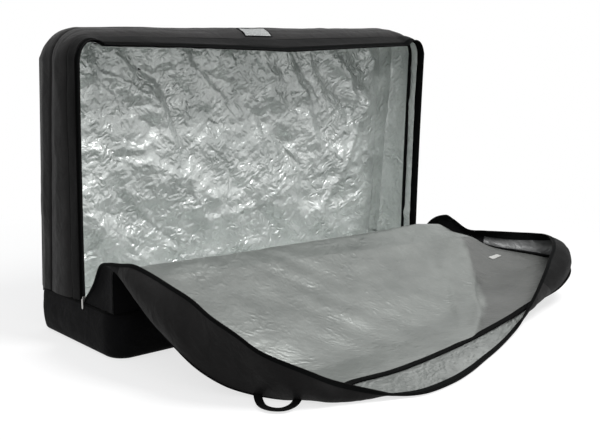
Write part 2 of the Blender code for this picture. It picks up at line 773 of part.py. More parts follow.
def add_stop(end, side, metal):
    """The crimped stop at a lower end of the zip."""
    low, high = sorted((side * (LENGTH / 2 - CHAIN_INSET), side * (LENGTH / 2 - CHAIN_INSET - CHAIN)))
    corners = ((low, Y_ZIP - CHAIN_WIDTH), (high, Y_ZIP - CHAIN_WIDTH), (high, Y_ZIP), (low, Y_ZIP))
    add_piece(end + "_zip_stop", pulled(corners, BODY_FLOOR, BODY_FLOOR + STOP_LENGTH, "Z"), metal)


def build_bag():
    clear_scene()
    nylon = make_material("black_coated_nylon", (0.020, 0.020, 0.021), 0.55)
    lining = make_material("silver_foil_lining", (0.46, 0.49, 0.47), 0.38, 0.55)
    foam = make_material("closed_cell_foam", (0.10, 0.10, 0.10), 0.95)
    board = make_material("stiffener_board", (0.07, 0.07, 0.07), 0.60)
    binding = make_material("black_grosgrain_binding", (0.012, 0.013, 0.013), 0.80)
    tape = make_material("black_zip_tape", (0.014, 0.015, 0.015), 0.75)
    coil = make_material("black_zip_coil", (0.018, 0.018, 0.018), 0.40)
    webbing = make_material("black_webbing", (0.016, 0.016, 0.016), 0.80)
    window = make_material("clear_card_window", (0.55, 0.56, 0.55), 0.25)
    label = make_material("blank_white_label", (0.75, 0.75, 0.72), 0.60)
    metal = make_material("zinc_slider", (0.55, 0.55, 0.54), 0.35, 1.0)

    add_boot(nylon, foam, lining, board, binding)
    add_body(nylon, foam, lining, binding, tape, coil, window)
    add_lid_root(nylon, foam, lining)

    ridge = Vector((0, Y_FRONT, RIDGE_HEIGHT))
    fold_axis = make_axis("lid_fold_axis", ridge)
    swing_height = RIDGE_HEIGHT + SWING_BEHIND_RIDGE * math.sin(LID_SLOPE)
    swing_back = Y_FRONT + SWING_BEHIND_RIDGE * math.cos(LID_SLOPE)
    swing = Vector((X_LEFT + SWING_FROM_LEFT, swing_back, swing_height))
    swing_axis = make_axis("lid_swing_axis", swing, fold_axis)
    far_axis = make_axis("far_gusset_axis", far_line()[0], swing_axis)
    right_axis = make_axis("right_gusset_axis", right_line()[0], swing_axis)
    add_lid_fold(fold_axis, nylon, lining)
    add_lid_panel(swing_axis, nylon, foam, lining, binding, label)
    add_left_gusset(swing_axis, nylon, lining, tape, coil)
    add_flap("lid_far", far_flap, FLAP_WIDTH, far_axis, nylon, lining, tape, coil)
    add_flap("lid_right", right_flap, RIGHT_FLAP_WIDTH, right_axis, nylon, lining, tape, coil)
    add_handle(swing_axis, webbing)

    for end, side in (("left", -1), ("right", 1)):
        add_stop(end, side, metal)
        add_slider(end, side, metal)


build_bag()
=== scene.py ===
"""A soft travel bag for a bicycle, open in a pale studio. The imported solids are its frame, and cloth
dresses them.

Places are counted in metres from the bag's left front corner on the floor: x along the bag, y towards
its back and z up. The frame's own origin is the middle of the base, so at() shifts them.
"""
import itertools
import math
import bmesh
import bpy
import numpy as np
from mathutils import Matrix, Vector


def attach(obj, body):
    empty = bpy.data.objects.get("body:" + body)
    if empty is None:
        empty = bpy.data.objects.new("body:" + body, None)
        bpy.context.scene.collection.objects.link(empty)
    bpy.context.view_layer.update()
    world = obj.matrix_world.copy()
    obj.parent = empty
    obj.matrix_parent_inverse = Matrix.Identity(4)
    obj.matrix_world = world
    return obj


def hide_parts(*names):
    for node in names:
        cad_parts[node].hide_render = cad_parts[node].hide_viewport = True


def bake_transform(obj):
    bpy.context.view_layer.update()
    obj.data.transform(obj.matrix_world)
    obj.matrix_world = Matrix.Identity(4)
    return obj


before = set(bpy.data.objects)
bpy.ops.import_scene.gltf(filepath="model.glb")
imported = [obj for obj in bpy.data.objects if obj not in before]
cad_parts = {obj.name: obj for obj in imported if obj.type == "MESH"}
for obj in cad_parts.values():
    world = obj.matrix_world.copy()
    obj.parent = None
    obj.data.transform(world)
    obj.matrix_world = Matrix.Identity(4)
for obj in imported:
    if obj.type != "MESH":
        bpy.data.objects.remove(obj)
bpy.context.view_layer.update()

CORNER = np.array((-0.625, -0.195, 0.0))
LONG = 1.25
DEEP = 0.4
TALL = 0.826
BOOT_TOP = 0.124
TINY = 1e-9


def at(places):
    return np.asarray(places, float) + CORNER


# Shapes


def keyed(keys, places):
    """Points of the smooth curve through keys, at places counted in keys."""
    keys = np.asarray(keys, float)
    if keys.ndim == 1:
        keys = keys[:, None]
    keys = np.vstack([2 * keys[0] - keys[1], keys, 2 * keys[-1] - keys[-2]])
    places = np.clip(np.asarray(places, float), 0, len(keys) - 3)
    span = np.minimum(places.astype(int), len(keys) - 4)
    t = (places - span)[:, None]
    a, b, c, d = (keys[span + step] for step in range(4))
    bow, twist = 2 * a - 5 * b + 4 * c - d, 3 * b - a - 3 * c + d
    return (2 * b + (c - a) * t + bow * t**2 + twist * t**3) / 2


def smooth(low, high, values):
    t = np.clip((np.asarray(values, float) - low) / (high - low), 0, 1)
    return t * t * (3 - 2 * t)


def read_off(table, places):
    """The height at the places of the broken line through a table's points."""
    return np.interp(places, *np.array(table).T)


def ripple(places, size, seed, cells=32):
    """Smooth noise from -1 to 1, in lumps of about the given size, which may differ along each axis."""
    table = np.random.default_rng(seed).uniform(-1, 1, (cells, cells, cells))
    places = places / np.asarray(size, float)
    base = np.floor(places).astype(int)
    part = places - base
    part = part * part * (3 - 2 * part)
    total = 0
    for corner in itertools.product((0, 1), repeat=3):
        weight = np.prod(np.where(corner, part, 1 - part), axis=-1)
        cell = (base + corner) % cells
        total = total + weight * table[cell[..., 0], cell[..., 1], cell[..., 2]]
    return total


def crumple(places, size, seed, octaves=4, keep=0.55):
    """Sharp-edged noise from about -1 to 1, like foil that was crushed and spread again."""
    total, height, reach = 0, 1.0, 0.0
    for octave in range(octaves):
        lump = 1 - 2 * np.abs(ripple(places, np.asarray(size) / 2**octave, seed + octave))
        total = total + height * lump
        reach += height
        height *= keep
    return total / reach


def facets(x, z, turn, size, seed, cells=64):
    """Heights from -1 to 1 in flat facets with sharp creases, longer along a turned direction."""
    length, width = size
    table = np.random.default_rng(seed).uniform(-1, 1, (cells, cells))
    bent = np.stack([x, z, 0 * x], axis=-1)
    lump = length * 0.8
    ahead, aside = math.cos(turn), math.sin(turn)
    along = x * ahead + z * aside + ripple(bent, lump, seed + 1) * length * 0.35
    across = z * ahead - x * aside + ripple(bent, lump, seed + 2) * width * 0.45
    u, v = along / length + across / width * 0.5, across / width
    i, j = np.floor(u).astype(int), np.floor(v).astype(int)
    a, b = u - i, v - j
    corners = ((0, 0), (1, 0), (0, 1), (1, 1))
    h00, h10, h01, h11 = (table[(i + m) % cells, (j + n) % cells] for m, n in corners)
    near = h00 * (1 - a - b) + h10 * a + h01 * b
    far = h11 * (a + b - 1) + h10 * (1 - b) + h01 * (1 - a)
    return np.where(a + b > 1, far, near)


def unit(vectors):
    return vectors / np.maximum(np.linalg.norm(vectors, axis=-1, keepdims=True), TINY)


def normals(grid):
    return unit(np.cross(np.gradient(grid, axis=0), np.gradient(grid, axis=1)))


def lengths(grid, axis):
    steps = np.linalg.norm(np.diff(grid, axis=axis), axis=-1)
    start = np.zeros_like(np.take(steps, [0], axis=axis))
    return np.concatenate([start, np.cumsum(steps, axis=axis)], axis=axis)


SHARP_EDGE = math.radians(50)
# A tube's section: 1 is an oval, and less is nearer a box
SQUARED = 0.7


def new_object(name, data):
    made = bpy.data.objects.new(name, data)
    bpy.context.scene.collection.objects.link(made)
    return made


def make(name, points, faces, flat, look):
    """A closed mesh object with a UV map in metres and the slot of its look."""
    mesh = bpy.data.meshes.new(name)
    mesh.from_pydata(at(points).tolist(), [], faces)
    layer = mesh.uv_layers.new(name="flat")
    corners = np.empty(len(mesh.loops), int)
    mesh.loops.foreach_get("vertex_index", corners)
    layer.data.foreach_set("uv", flat[corners].astype(np.float32).ravel())
    shape = bmesh.new()
    shape.from_mesh(mesh)
    bmesh.ops.recalc_face_normals(shape, faces=shape.faces)
    shape.to_mesh(mesh)
    shape.free()
    mesh.shade_smooth()
    mesh.set_sharp_from_angle(angle=SHARP_EDGE)
    piece = new_object(name, mesh)
    mesh.materials.append(look)
    return piece


def quads(number, ring):
    """The faces of a grid of vertex numbers, row by row. ring joins the last column to the first."""
    for near, far in zip(number.tolist(), number[1:].tolist()):
        for column in range(len(near) if ring else len(near) - 1):
            after = (column + 1) % len(near)
            yield [near[column], near[after], far[after], far[column]]


def shell(name, outer, inner, look, ring=False):
    """The closed piece between two grids of points. ring joins the last column to the first."""
    rows, columns = outer.shape[:2]
    count = rows * columns
    flat = np.stack([lengths(outer, 1).ravel(), lengths(outer, 0).ravel()], axis=1)
    number = np.arange(count).reshape(rows, columns)
    faces = []
    for quad in quads(number, ring):
        faces += [quad, [n + count for n in quad[::-1]]]
    if ring:
        rims = [[*number[row], number[row, 0]] for row in (0, -1)]
    else:
        rims = [[*number[0], *number[1:, -1], *number[-1, -2::-1], *number[-2::-1, 0]]]
    for rim in rims:
        for a, b in zip(rim, rim[1:]):
            faces.append([int(a), int(b), int(b) + count, int(a) + count])
    points = np.concatenate([outer.reshape(-1, 3), inner.reshape(-1, 3)])
    return make(name, points, faces, np.concatenate([flat, flat]), look)


def tube(name, path, wide, thick, up, look, sides=10):
    """A rope or a flat binding swept along a path. up is the direction of its thickness."""
    path = np.asarray(path, float)
    ahead = unit(np.gradient(path, axis=0))
    side = unit(np.cross(ahead, np.broadcast_to(np.asarray(up, float), path.shape)))
    over = np.cross(side, ahead)
    turn = np.linspace(0, 2 * np.pi, sides, endpoint=False)
    circle = np.stack([np.cos(turn), np.sin(turn)])
    round_x, round_y = np.sign(circle) * np.abs(circle) ** SQUARED
    rings = path[:, None] + side[:, None] * (round_x * wide / 2)[None, :, None]
    rings = rings + over[:, None] * (round_y * thick / 2)[None, :, None]
    count = len(path)
    run = lengths(path[:, None], 0).ravel()
    flat = np.stack([np.repeat(run, sides), np.tile(turn * (wide + thick) / 4, count)], axis=1)
    number = np.arange(count * sides).reshape(count, sides)
    faces = [*quads(number, True), number[0, ::-1].tolist(), number[-1].tolist()]
    return make(name, rings.reshape(-1, 3), faces, flat, look)


def cut_from(grid, ring=False):
    """Works out the flat size and area of the cloth that a smooth grid stands for, and keeps them
    nowhere.
    """
    if ring:
        grid = np.concatenate([grid, grid[:, :1]], axis=1)
    across = float(lengths(grid, 1)[:, -1].max())
    along = float(lengths(grid, 0)[-1].max())
    sides = np.diff(grid, axis=0)[:, :-1], np.diff(grid, axis=1)[:-1]
    area = float(np.linalg.norm(np.cross(*sides), axis=-1).sum())
    area = min(area, across * along)


# Looks


def add(tree, kind, links=(), **values):
    made = tree.nodes.new("ShaderNode" + kind)
    for key, value in values.items():
        if hasattr(made, key):
            setattr(made, key, value)
        else:
            made.inputs[key.replace("_", " ")].default_value = value
    for socket, source in dict(links).items():
        tree.links.new(source, made.inputs[socket])
    return made


# The pitch of the cloth's threads, and the depths of bumps in metres
THREAD = 0.0011
THREAD_DEPTH = 0.0006
FOLD_DEPTH = 0.012
RIB_DEPTH = 0.0005
FOIL_WEAVE_DEPTH = 0.0004
WEAR_DEPTH = 0.0002
# How far noise shifts the foil's creases and the edge of its painted shade
FOIL_SHIFT, SHADE_EDGE_SHIFT = 0.035, 0.04
# Blender's wave texture turns by this many radians for each unit of its scale
WAVE_TURN = 20
LOOKS = {
    "black_coated_nylon": ("coated_nylon", "slack_nylon", "painted_shade_nylon", "facing_nylon_painted_shade"),
    "black_zip_tape": ("zip_tape",),
    "black_grosgrain_binding": ("bound_edge",),
    "black_zip_coil": ("zip_coil",),
    "black_webbing": ("webbing",),
    "silver_foil_lining": ("crushed_foil", "smooth_foil", "foot_foil", "flap_foil", "painted_shade_foil"),
    "clear_card_window": ("card_film",),
    "blank_white_label": ("label_cloth",),
    "zinc_slider": ("zinc",),
}
SLOTS = {name: slot for slot, names in LOOKS.items() for name in names}


def start_look(name, roughness, metallic=0.0, sheen=0.0, specular=0.5):
    """A material, its nodes, its shader, and a place on the flat cloth or, for metal, in space."""
    look = bpy.data.materials.new(name)
    look["slot"] = SLOTS[name]
    look.use_nodes = True
    tree = look.node_tree
    shader = tree.nodes["Principled BSDF"]
    shader.inputs["Roughness"].default_value = roughness
    shader.inputs["Metallic"].default_value = metallic
    shader.inputs["Sheen Weight"].default_value = sheen
    shader.inputs["Specular IOR Level"].default_value = specular
    return look, tree, shader, add(tree, "TexCoord").outputs["UV" if metallic < 1 else "Object"]


def noise(tree, place, **values):
    return add(tree, "TexNoise", {"Vector": place}, **values).outputs


def waves(tree, place, direction, pitch):
    """Bands that cross a direction, one to each pitch."""
    scale = 2 * math.pi / (WAVE_TURN * pitch)
    made = add(tree, "TexWave", {"Vector": place}, bands_direction=direction, Scale=scale)
    return made.outputs["Fac"]


def reckoned(tree, operation, *values):
    """What a Math node makes of sockets and plain numbers."""
    made = add(tree, "Math", operation=operation)
    for socket, value in zip(made.inputs, values):
        if isinstance(value, float):
            socket.default_value = value
        else:
            tree.links.new(value, socket)
    return made.outputs[0]


def mapped(tree, value, **ranges):
    return add(tree, "MapRange", {"Value": value}, **ranges).outputs["Result"]


def tones(tree, value, dark, light, low=0.0, high=1.0):
    """The colour from dark to light as a value goes from low to high."""
    made = add(tree, "ValToRGB", {"Fac": value})
    for stop, place, colour in zip(made.color_ramp.elements, (low, high), (dark, light)):
        stop.position = place
        stop.color = (*colour, 1)
    return made.outputs["Color"]


def bump(tree, height, strength, distance, under=None):
    """A normal bumped by a height, over another bumped normal if one is given."""
    links = {"Height": height}
    if under is not None:
        links["Normal"] = under
    return add(tree, "Bump", links, Strength=strength, Distance=distance).outputs["Normal"]


def dress(tree, shader, colour, normal):
    tree.links.new(colour, shader.inputs["Base Color"])
    tree.links.new(normal, shader.inputs["Normal"])


def woven(name, light, dark, roughness, weave=0.25, crinkle=0.3, size=0.05, sheen=0.0, specular=0.14):
    """Woven cloth: two tones that drift, a weave and soft creases."""
    look, tree, shader, place = start_look(name, roughness, 0.0, sheen, specular)
    drift = noise(tree, place, Scale=7.0, Detail=5.0, Roughness=0.6)["Fac"]
    threads = [waves(tree, place, direction, THREAD) for direction in "XY"]
    folds = noise(tree, place, Scale=1 / size, Detail=3.0, Distortion=0.6)["Fac"]
    soft = bump(tree, folds, crinkle, FOLD_DEPTH)
    fine = bump(tree, reckoned(tree, "MULTIPLY", *threads), weave, THREAD_DEPTH, soft)
    dress(tree, shader, tones(tree, drift, dark, light, 0.3, 0.72), fine)
    return look


def ribbed(name, light, dark, roughness, pitch, strength=0.6):
    """Ribbed tape, webbing or coil."""
    look, tree, shader, place = start_look(name, roughness, specular=0.04)
    ribs = waves(tree, place, "X", pitch)
    drift = noise(tree, place, Scale=30.0, Detail=4.0)["Fac"]
    colour = tones(tree, reckoned(tree, "MULTIPLY", ribs, drift), dark, light)
    dress(tree, shader, colour, bump(tree, ribs, strength, RIB_DEPTH))
    return look


def foil(name, light, dark, roughness, metallic, coarse, strength, fine=0.3, painted_shade=None):
    """Silver-coated cloth: a coating crushed in patches, a fine weave, and, where given, a part darkened
    with painted shade.
    """
    look, tree, shader, place = start_look(name, roughness, metallic)
    bend = noise(tree, place, Scale=18.0, Detail=3.0)["Color"]
    push = add(tree, "VectorMath", {0: bend}, operation="SCALE", Scale=FOIL_SHIFT).outputs[0]
    bent = add(tree, "VectorMath", {0: place, 1: push}, operation="ADD").outputs[0]
    tone = noise(tree, bent, Scale=9.0, Detail=6.0, Roughness=0.65)["Fac"]
    tone = tones(tree, tone, dark, light, 0.3, 0.75)
    # Painted shade darkens the part past the crease, where one is given
    if painted_shade:
        tone = shade_past_crease(tree, place, tone, *painted_shade)
    kind = "RIDGED_MULTIFRACTAL"
    ridges = noise(tree, bent, Scale=1.3 / coarse, Detail=5.0, noise_type=kind, normalize=True)["Fac"]
    patches = noise(tree, place, Scale=8.0, Detail=2.0)["Fac"]
    crushed = mapped(tree, patches, From_Min=0.4, From_Max=0.66, To_Min=0.18)
    normal = bump(tree, reckoned(tree, "MULTIPLY", ridges, crushed), strength, coarse * 0.55)
    for size, share in ((coarse * 0.6, 0.8), (coarse * 0.25, 0.5)):
        cells = add(tree, "TexVoronoi", {"Vector": bent}, Scale=1 / size, feature="F1")
        normal = bump(tree, cells.outputs["Distance"], strength * share, size * 0.22, normal)
    weave = noise(tree, place, Scale=900.0, Detail=1.0)["Fac"]
    dress(tree, shader, tone, bump(tree, weave, fine, FOIL_WEAVE_DEPTH, normal))
    return look


def shade_past_crease(tree, place, tone, slope, bow, start, end, shade):
    """The tone, darkened with painted shade where the cloth lies past a bowed crease."""
    wander = noise(tree, place, Scale=14.0, Detail=4.0)["Fac"]
    flat = add(tree, "SeparateXYZ", {0: place}).outputs
    steep = reckoned(tree, "MULTIPLY_ADD", flat["Y"], bow, slope)
    across = reckoned(tree, "MULTIPLY_ADD", steep, flat["Y"], flat["X"])
    moved = reckoned(tree, "MULTIPLY_ADD", wander, SHADE_EDGE_SHIFT, across)
    shade_mask = mapped(tree, moved, From_Min=start, From_Max=end, interpolation_type="SMOOTHSTEP")
    links = {"Factor": shade_mask, "A": tone}
    mix = add(tree, "Mix", links, data_type="RGBA", blend_type="MULTIPLY")
    mix.inputs["B"].default_value = (*shade, 1)
    return mix.outputs["Result"]


def metal(name, colour, roughness):
    """Worn metal, duller and rougher in fine patches."""
    look, tree, shader, place = start_look(name, roughness, 1.0)
    wear = noise(tree, place, Scale=240.0, Detail=5.0)["Fac"]
    rough = mapped(tree, wear, To_Min=roughness - 0.1, To_Max=roughness + 0.2)
    tree.links.new(rough, shader.inputs["Roughness"])
    dark = [share * 0.55 for share in colour]
    dress(tree, shader, tones(tree, wear, dark, colour), bump(tree, wear, 0.2, WEAR_DEPTH))
    return look


NYLON = woven(
    "coated_nylon", (0.03, 0.029, 0.029), (0.02, 0.0195, 0.0195), 0.5,
    crinkle=0.35, sheen=0.02, specular=0.08,
)
NYLON_SOFT = woven(
    "slack_nylon", (0.025, 0.0245, 0.0245), (0.013, 0.0125, 0.0125), 0.6,
    crinkle=0.6, size=0.06, specular=0.08,
)
# A darker copy of the nylon: painted shade on the boot, the base, the lid's foot and the edge's ends
# near the body
NYLON_PAINTED_SHADE = woven(
    "painted_shade_nylon", (0.009, 0.009, 0.0095), (0.005, 0.005, 0.0055), 0.6, crinkle=0.35, specular=0.03,
)
# A darker copy of the nylon: painted shade on the zip's facing and the right gusset's outside
STRIP_PAINTED_SHADE = woven(
    "facing_nylon_painted_shade", (0.013, 0.013, 0.013), (0.008, 0.008, 0.008), 0.6, crinkle=0.2, specular=0.05,
)
TAPE = ribbed("zip_tape", (0.006, 0.0065, 0.0065), (0.003, 0.0035, 0.0035), 0.8, 0.0012)
BINDING = ribbed("bound_edge", (0.006, 0.0065, 0.0065), (0.003, 0.003, 0.003), 0.85, 0.0014)
COIL = ribbed("zip_coil", (0.009, 0.009, 0.009), (0.003, 0.003, 0.003), 0.6, 0.0013, strength=1.0)
WEBBING = ribbed("webbing", (0.01, 0.01, 0.01), (0.005, 0.005, 0.005), 0.8, 0.0018)
BODY_FOIL = foil(
    "crushed_foil", (0.82, 0.85, 0.83), (0.5, 0.53, 0.515), 0.3, 0.34, 0.022, 0.8,
)
# The lid's lining, with painted shade on its part past the crease
LID_FOIL = foil(
    "smooth_foil", (0.254, 0.267, 0.253), (0.172, 0.183, 0.173), 0.42, 0.3, 0.024, 0.26, 0.2,
    painted_shade=(0.462, 1.39, 1.2, 1.235, (0.5, 0.49, 0.49)),
)
FOOT_FOIL = foil("foot_foil", (0.25, 0.265, 0.251), (0.17, 0.183, 0.173), 0.4, 0.32, 0.03, 0.3, 0.2)
FLAP_FOIL = foil("flap_foil", (0.34, 0.355, 0.34), (0.17, 0.18, 0.172), 0.38, 0.3, 0.03, 0.6, 0.2)
# A darker copy of the foil: painted shade for the right gusset's lining
SHADED_FOIL = foil(
    "painted_shade_foil", (0.15, 0.152, 0.152), (0.075, 0.077, 0.077), 0.45, 0.2, 0.03, 0.4, 0.2,
)
METAL = metal("zinc", (0.62, 0.61, 0.59), 0.32)

# The lid's edge, all the way round: seam, zip edge, and how far the gusset bellies out between them

EDGE = (
    ((0, 0.004, 0.126), (0, 0.155, 0.126), -0.004),
    ((0, 0.003, 0.19), (0, 0.1, 0.182), -0.012),
    ((0, 0, 0.232), (0, 0.062, 0.238), -0.008),
    ((0, -0.022, 0.238), (-0.003, 0.012, 0.254), 0.002),
    ((0, -0.052, 0.223), (-0.004, -0.05, 0.263), 0.01),
    ((0, -0.085, 0.203), (0, -0.105, 0.27), 0.018),
    ((0, -0.17, 0.152), (0.012, -0.165, 0.257), 0.024),
    ((0.01, -0.25, 0.108), (0.02, -0.235, 0.24), 0.022),
    ((0.03, -0.32, 0.064), (0.028, -0.305, 0.222), 0.012),
    ((0.07, -0.37, 0.028), (0.026, -0.382, 0.2), 0.004),
    ((0.117, -0.416, 0.008), (0.05, -0.44, 0.17), 0.004),
    ((0.15, -0.475, 0.006), (0.088, -0.486, 0.13), 0.01),
    ((0.185, -0.505, 0.006), (0.16, -0.555, 0.09), 0.018),
    ((0.225, -0.525, 0.006), (0.218, -0.575, 0.06), 0.024),
    ((0.275, -0.525, 0.006), (0.3, -0.61, 0.03), 0.022),
    ((0.345, -0.507, 0.006), (0.365, -0.633, 0.01), 0.006),
    ((0.462, -0.515, 0.006), (0.43, -0.655, 0.006), 0),
    ((0.59, -0.503, 0.006), (0.527, -0.649, 0.006), -0.004),
    ((0.7, -0.488, 0.008), (0.62, -0.625, 0.006), -0.004),
    ((0.804, -0.473, 0.012), (0.72, -0.588, 0.006), -0.002),
    ((0.88, -0.463, 0.018), (0.812, -0.554, 0.007), 0.004),
    ((0.96, -0.451, 0.024), (0.915, -0.512, 0.01), 0.01),
    ((1.03, -0.436, 0.028), (1, -0.478, 0.02), 0.008),
    ((1.1, -0.42, 0.034), (1.063, -0.456, 0.05), 0.01),
    ((1.19, -0.403, 0.042), (1.113, -0.445, 0.085), 0.012),
    ((1.29, -0.39, 0.056), (1.198, -0.41, 0.125), 0.016),
    ((1.37, -0.368, 0.078), (1.265, -0.374, 0.145), 0.024),
    ((1.42, -0.332, 0.096), (1.351, -0.325, 0.165), 0.03),
    ((1.445, -0.28, 0.105), (1.45, -0.235, 0.172), 0.028),
    ((1.43, -0.235, 0.108), (1.46, -0.175, 0.169), 0.03),
    ((1.41, -0.196, 0.112), (1.44, -0.138, 0.168), 0.028),
    ((1.38, -0.155, 0.117), (1.41, -0.112, 0.17), 0.028),
    ((1.35, -0.109, 0.122), (1.37, -0.09, 0.174), 0.024),
    ((1.31, -0.068, 0.136), (1.32, -0.07, 0.18), 0.018),
    ((1.27, -0.032, 0.152), (1.272, -0.048, 0.188), 0.012),
    ((1.256, -0.008, 0.17), (1.253, -0.003, 0.217), 0.01),
    ((1.25, 0.002, 0.172), (1.25, 0.03, 0.226), 0.01),
    ((1.25, 0.003, 0.152), (1.25, 0.091, 0.2), 0.004),
    ((1.25, 0.004, 0.126), (1.25, 0.155, 0.126), -0.002),
)
SEAM = [key[0] for key in EDGE]
ZIP = [key[1] for key in EDGE]
BELLY = [key[2] for key in EDGE]
END = len(EDGE) - 1
# Places along the edge, counted in keys: the foot's ends and the lid's far corners, then the far
# gusset's ends, the next gore's end and the right gusset's waist
LEFT_CUT, LEFT_CORNER, RIGHT_CORNER, RIGHT_CUT = 4.05, 13.3, 27.3, 32.7
FAR_START, FAR_END, GORE_END, WAIST = 15.8, 22.0, 24.5, 29.3
# Keys to each side over which the edge's direction is taken
NUDGE = 0.05
# Each layer's two faces: height over the gusset's middle, and lowest level
LAYERS = {
    "cloth": ((0.0016, 0.0008), (0.0003, 0.0018)),
    "lining": ((-0.0003, 0.0021), (-0.0014, 0.0028)),
    "tape": ((-0.0017, 0.005), (-0.0032, 0.004)),
    "facing": ((0.0029, 0.0006), (0.0019, 0.0016)),
}
CLOTH_LEVEL, TAPE_LEVEL = 0.0032, 0.004
ZIP_GAP, TAPE_WIDTH, FACING_WIDTH = 0.001, 0.019, 0.007
COIL_WIDTH, COIL_THICKNESS = 0.0062, 0.0044


def gusset(t, shares):
    """The gusset's middle surface: rows along the edge, columns from seam to zip."""
    seam, edge = keyed(SEAM, t), keyed(ZIP, t)
    before, after = t - NUDGE, t + NUDGE
    ahead = keyed(SEAM, after) + keyed(ZIP, after) - keyed(SEAM, before) - keyed(ZIP, before)
    out = unit(np.cross(ahead, edge - seam))
    belly = (seam + edge) / 2 + out * keyed(BELLY, t)
    pull = 2 * belly - (seam + edge) / 2
    a = np.asarray(shares)
    a = np.broadcast_to(a, (len(t), a.shape[-1]))[..., None]
    seam, edge, pull = seam[:, None], edge[:, None], pull[:, None]
    return seam * (1 - a) ** 2 + 2 * pull * a * (1 - a) + edge * a**2


def gusset_width(t):
    return lengths(gusset(t, np.linspace(0, 1, 9)), 1)[:, -1]


def layer(name, kind, grid, look):
    """One layer of the lid's edge: a thin sheet along a grid, held above the floor."""
    sides = []
    for height, level in LAYERS[kind]:
        side = grid + normals(grid) * height
        side[..., 2] = np.maximum(side[..., 2], level)
        sides.append(side)
    return shell(f"{name}_{kind}", *sides, look)


def edge_piece(name, reach, move, stands_for=(), inside=FLAP_FOIL, outside=NYLON_SOFT, rough=0.0028):
    """The black cloth, silver lining, tape and coil along one stretch of the lid's edge."""
    t = np.linspace(*reach, max(int((reach[1] - reach[0]) * 9), 8))
    width = gusset_width(t)[:, None]
    plain = gusset(t, np.linspace(0, 1, 13)[None] * (1 - ZIP_GAP / width))
    fade = np.sin(np.linspace(0, np.pi, 13))[None, :, None] ** 0.7
    wrinkle = crumple(plain, 0.09, 71, 3) * rough + ripple(plain, 0.03, 77) * 0.0012
    grid = plain + normals(plain) * wrinkle[..., None] * fade
    grid[..., 2] = np.maximum(grid[..., 2], CLOTH_LEVEL)
    pieces = [layer(name, "cloth", grid, outside), layer(name, "lining", grid, inside)]
    band = gusset(t, 1 - np.linspace(TAPE_WIDTH, ZIP_GAP, 4)[None] / width)
    band[..., 2] = np.maximum(band[..., 2], TAPE_LEVEL)
    pieces.append(layer(name, "tape", band, TAPE))
    band = gusset(t, 1 - np.linspace(FACING_WIDTH, ZIP_GAP, 3)[None] / width)
    pieces.append(layer(name, "facing", band, TAPE))
    rim = keyed(ZIP, t)
    rim[:, 2] = np.maximum(rim[:, 2], CLOTH_LEVEL)
    up = normals(gusset(t, np.linspace(0.9, 1, 3)))[:, -1]
    pieces.append(tube(name + "_coil", rim, COIL_WIDTH, COIL_THICKNESS, up, COIL, 8))
    for piece in pieces:
        move(piece)
    if stands_for:
        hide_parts(*stands_for)
    cut_from(plain)
    cut_from(plain)


def bend(first, second, start, end):
    start, end = at(start).tolist(), at(end).tolist()
    return lambda piece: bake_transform(piece)


OVER_RIDGE = bend("bag_body", "lid_near", (0, 0.0316, 0.1911), (0, -0.0334, 0.2261))
INTO_LID = bend("lid_near", "lid", (0, -0.055, 0.1), (-0.0019, -0.1269, 0.1))
# Keys where the cloth bends on from the lid, at the left gore, the far gusset and the right gusset
GORE_BEND, FAR_MIDDLE, RIGHT_MIDDLE = 16.2, 18, 28.5
# The share of the far gusset's width that bends, and the right gusset's way from seam to zip
HANG_SHARE = 0.35
RIGHT_WAY = np.array((0.2, 0.04, 0.1))


def build_edge():
    near = ("left_gusset_root", "left_gusset_arch")
    edge_piece("left_gusset_near", (0, LEFT_CUT), OVER_RIDGE, near, outside=NYLON_PAINTED_SHADE)
    edge_piece("left_gusset", (LEFT_CUT, LEFT_CORNER), INTO_LID, edge_nodes("left"))
    start, end = keyed(SEAM, [LEFT_CORNER, GORE_BEND])
    edge_piece("far_left_gore", (LEFT_CORNER, FAR_START), bend("lid", "lid_far", start, end))
    seam, edge = keyed(SEAM, [FAR_MIDDLE])[0], keyed(ZIP, [FAR_MIDDLE])[0]
    hang = bend("lid", "lid_far", seam, seam + (edge - seam) * HANG_SHARE)
    edge_piece("far_gusset", (FAR_START, FAR_END), hang, edge_nodes("far"), rough=0.0055)
    start, end = keyed(SEAM, [FAR_END, GORE_END])
    edge_piece("far_right_gore", (FAR_END, GORE_END), bend("lid_far", "lid", start, end))
    middle = keyed(SEAM, [RIGHT_MIDDLE])[0]
    turn = bend("lid", "lid_right", middle, middle + RIGHT_WAY)
    edge_piece("right_gusset", (GORE_END, WAIST), turn, edge_nodes("right"), SHADED_FOIL, STRIP_PAINTED_SHADE)
    edge_piece("right_gusset_waist", (WAIST, RIGHT_CUT), INTO_LID, (), SHADED_FOIL, STRIP_PAINTED_SHADE)
    near = ("right_gusset_root", "right_gusset_arch")
    edge_piece("right_gusset_near", (RIGHT_CUT, END), OVER_RIDGE, near, NYLON_PAINTED_SHADE, NYLON_PAINTED_SHADE)


def edge_nodes(side):
    parts = ("gusset_shell", "gusset_lining", "zip_tape", "zip_chain")
    return [f"lid_{side}_{part}" for part in parts]


# The upright foot's share of the lid's grid, and the grid's rows and columns
FOOT_SHARE = 0.27
FOOT_ROWS, LID_ROWS, LID_COLUMNS = 34, 84, 171
# The bent crease, as shares of the way out and across, and its height and step
CREASE = ((0.254, 0.924), (0.42, 0.824), (0.595, 0.741), (0.789, 0.606), (0.991, 0.412))
CREASE_HEIGHT, CREASE_STEP = 0.009, 0.005
# A second fold to the left of it, and its height
BESIDE, BESIDE_HEIGHT = -0.085, 0.007
# The lowest level of each face of the lid's two layers
LID_LEVELS = (0.0008, 0.003, 0.0034, 0.0045)


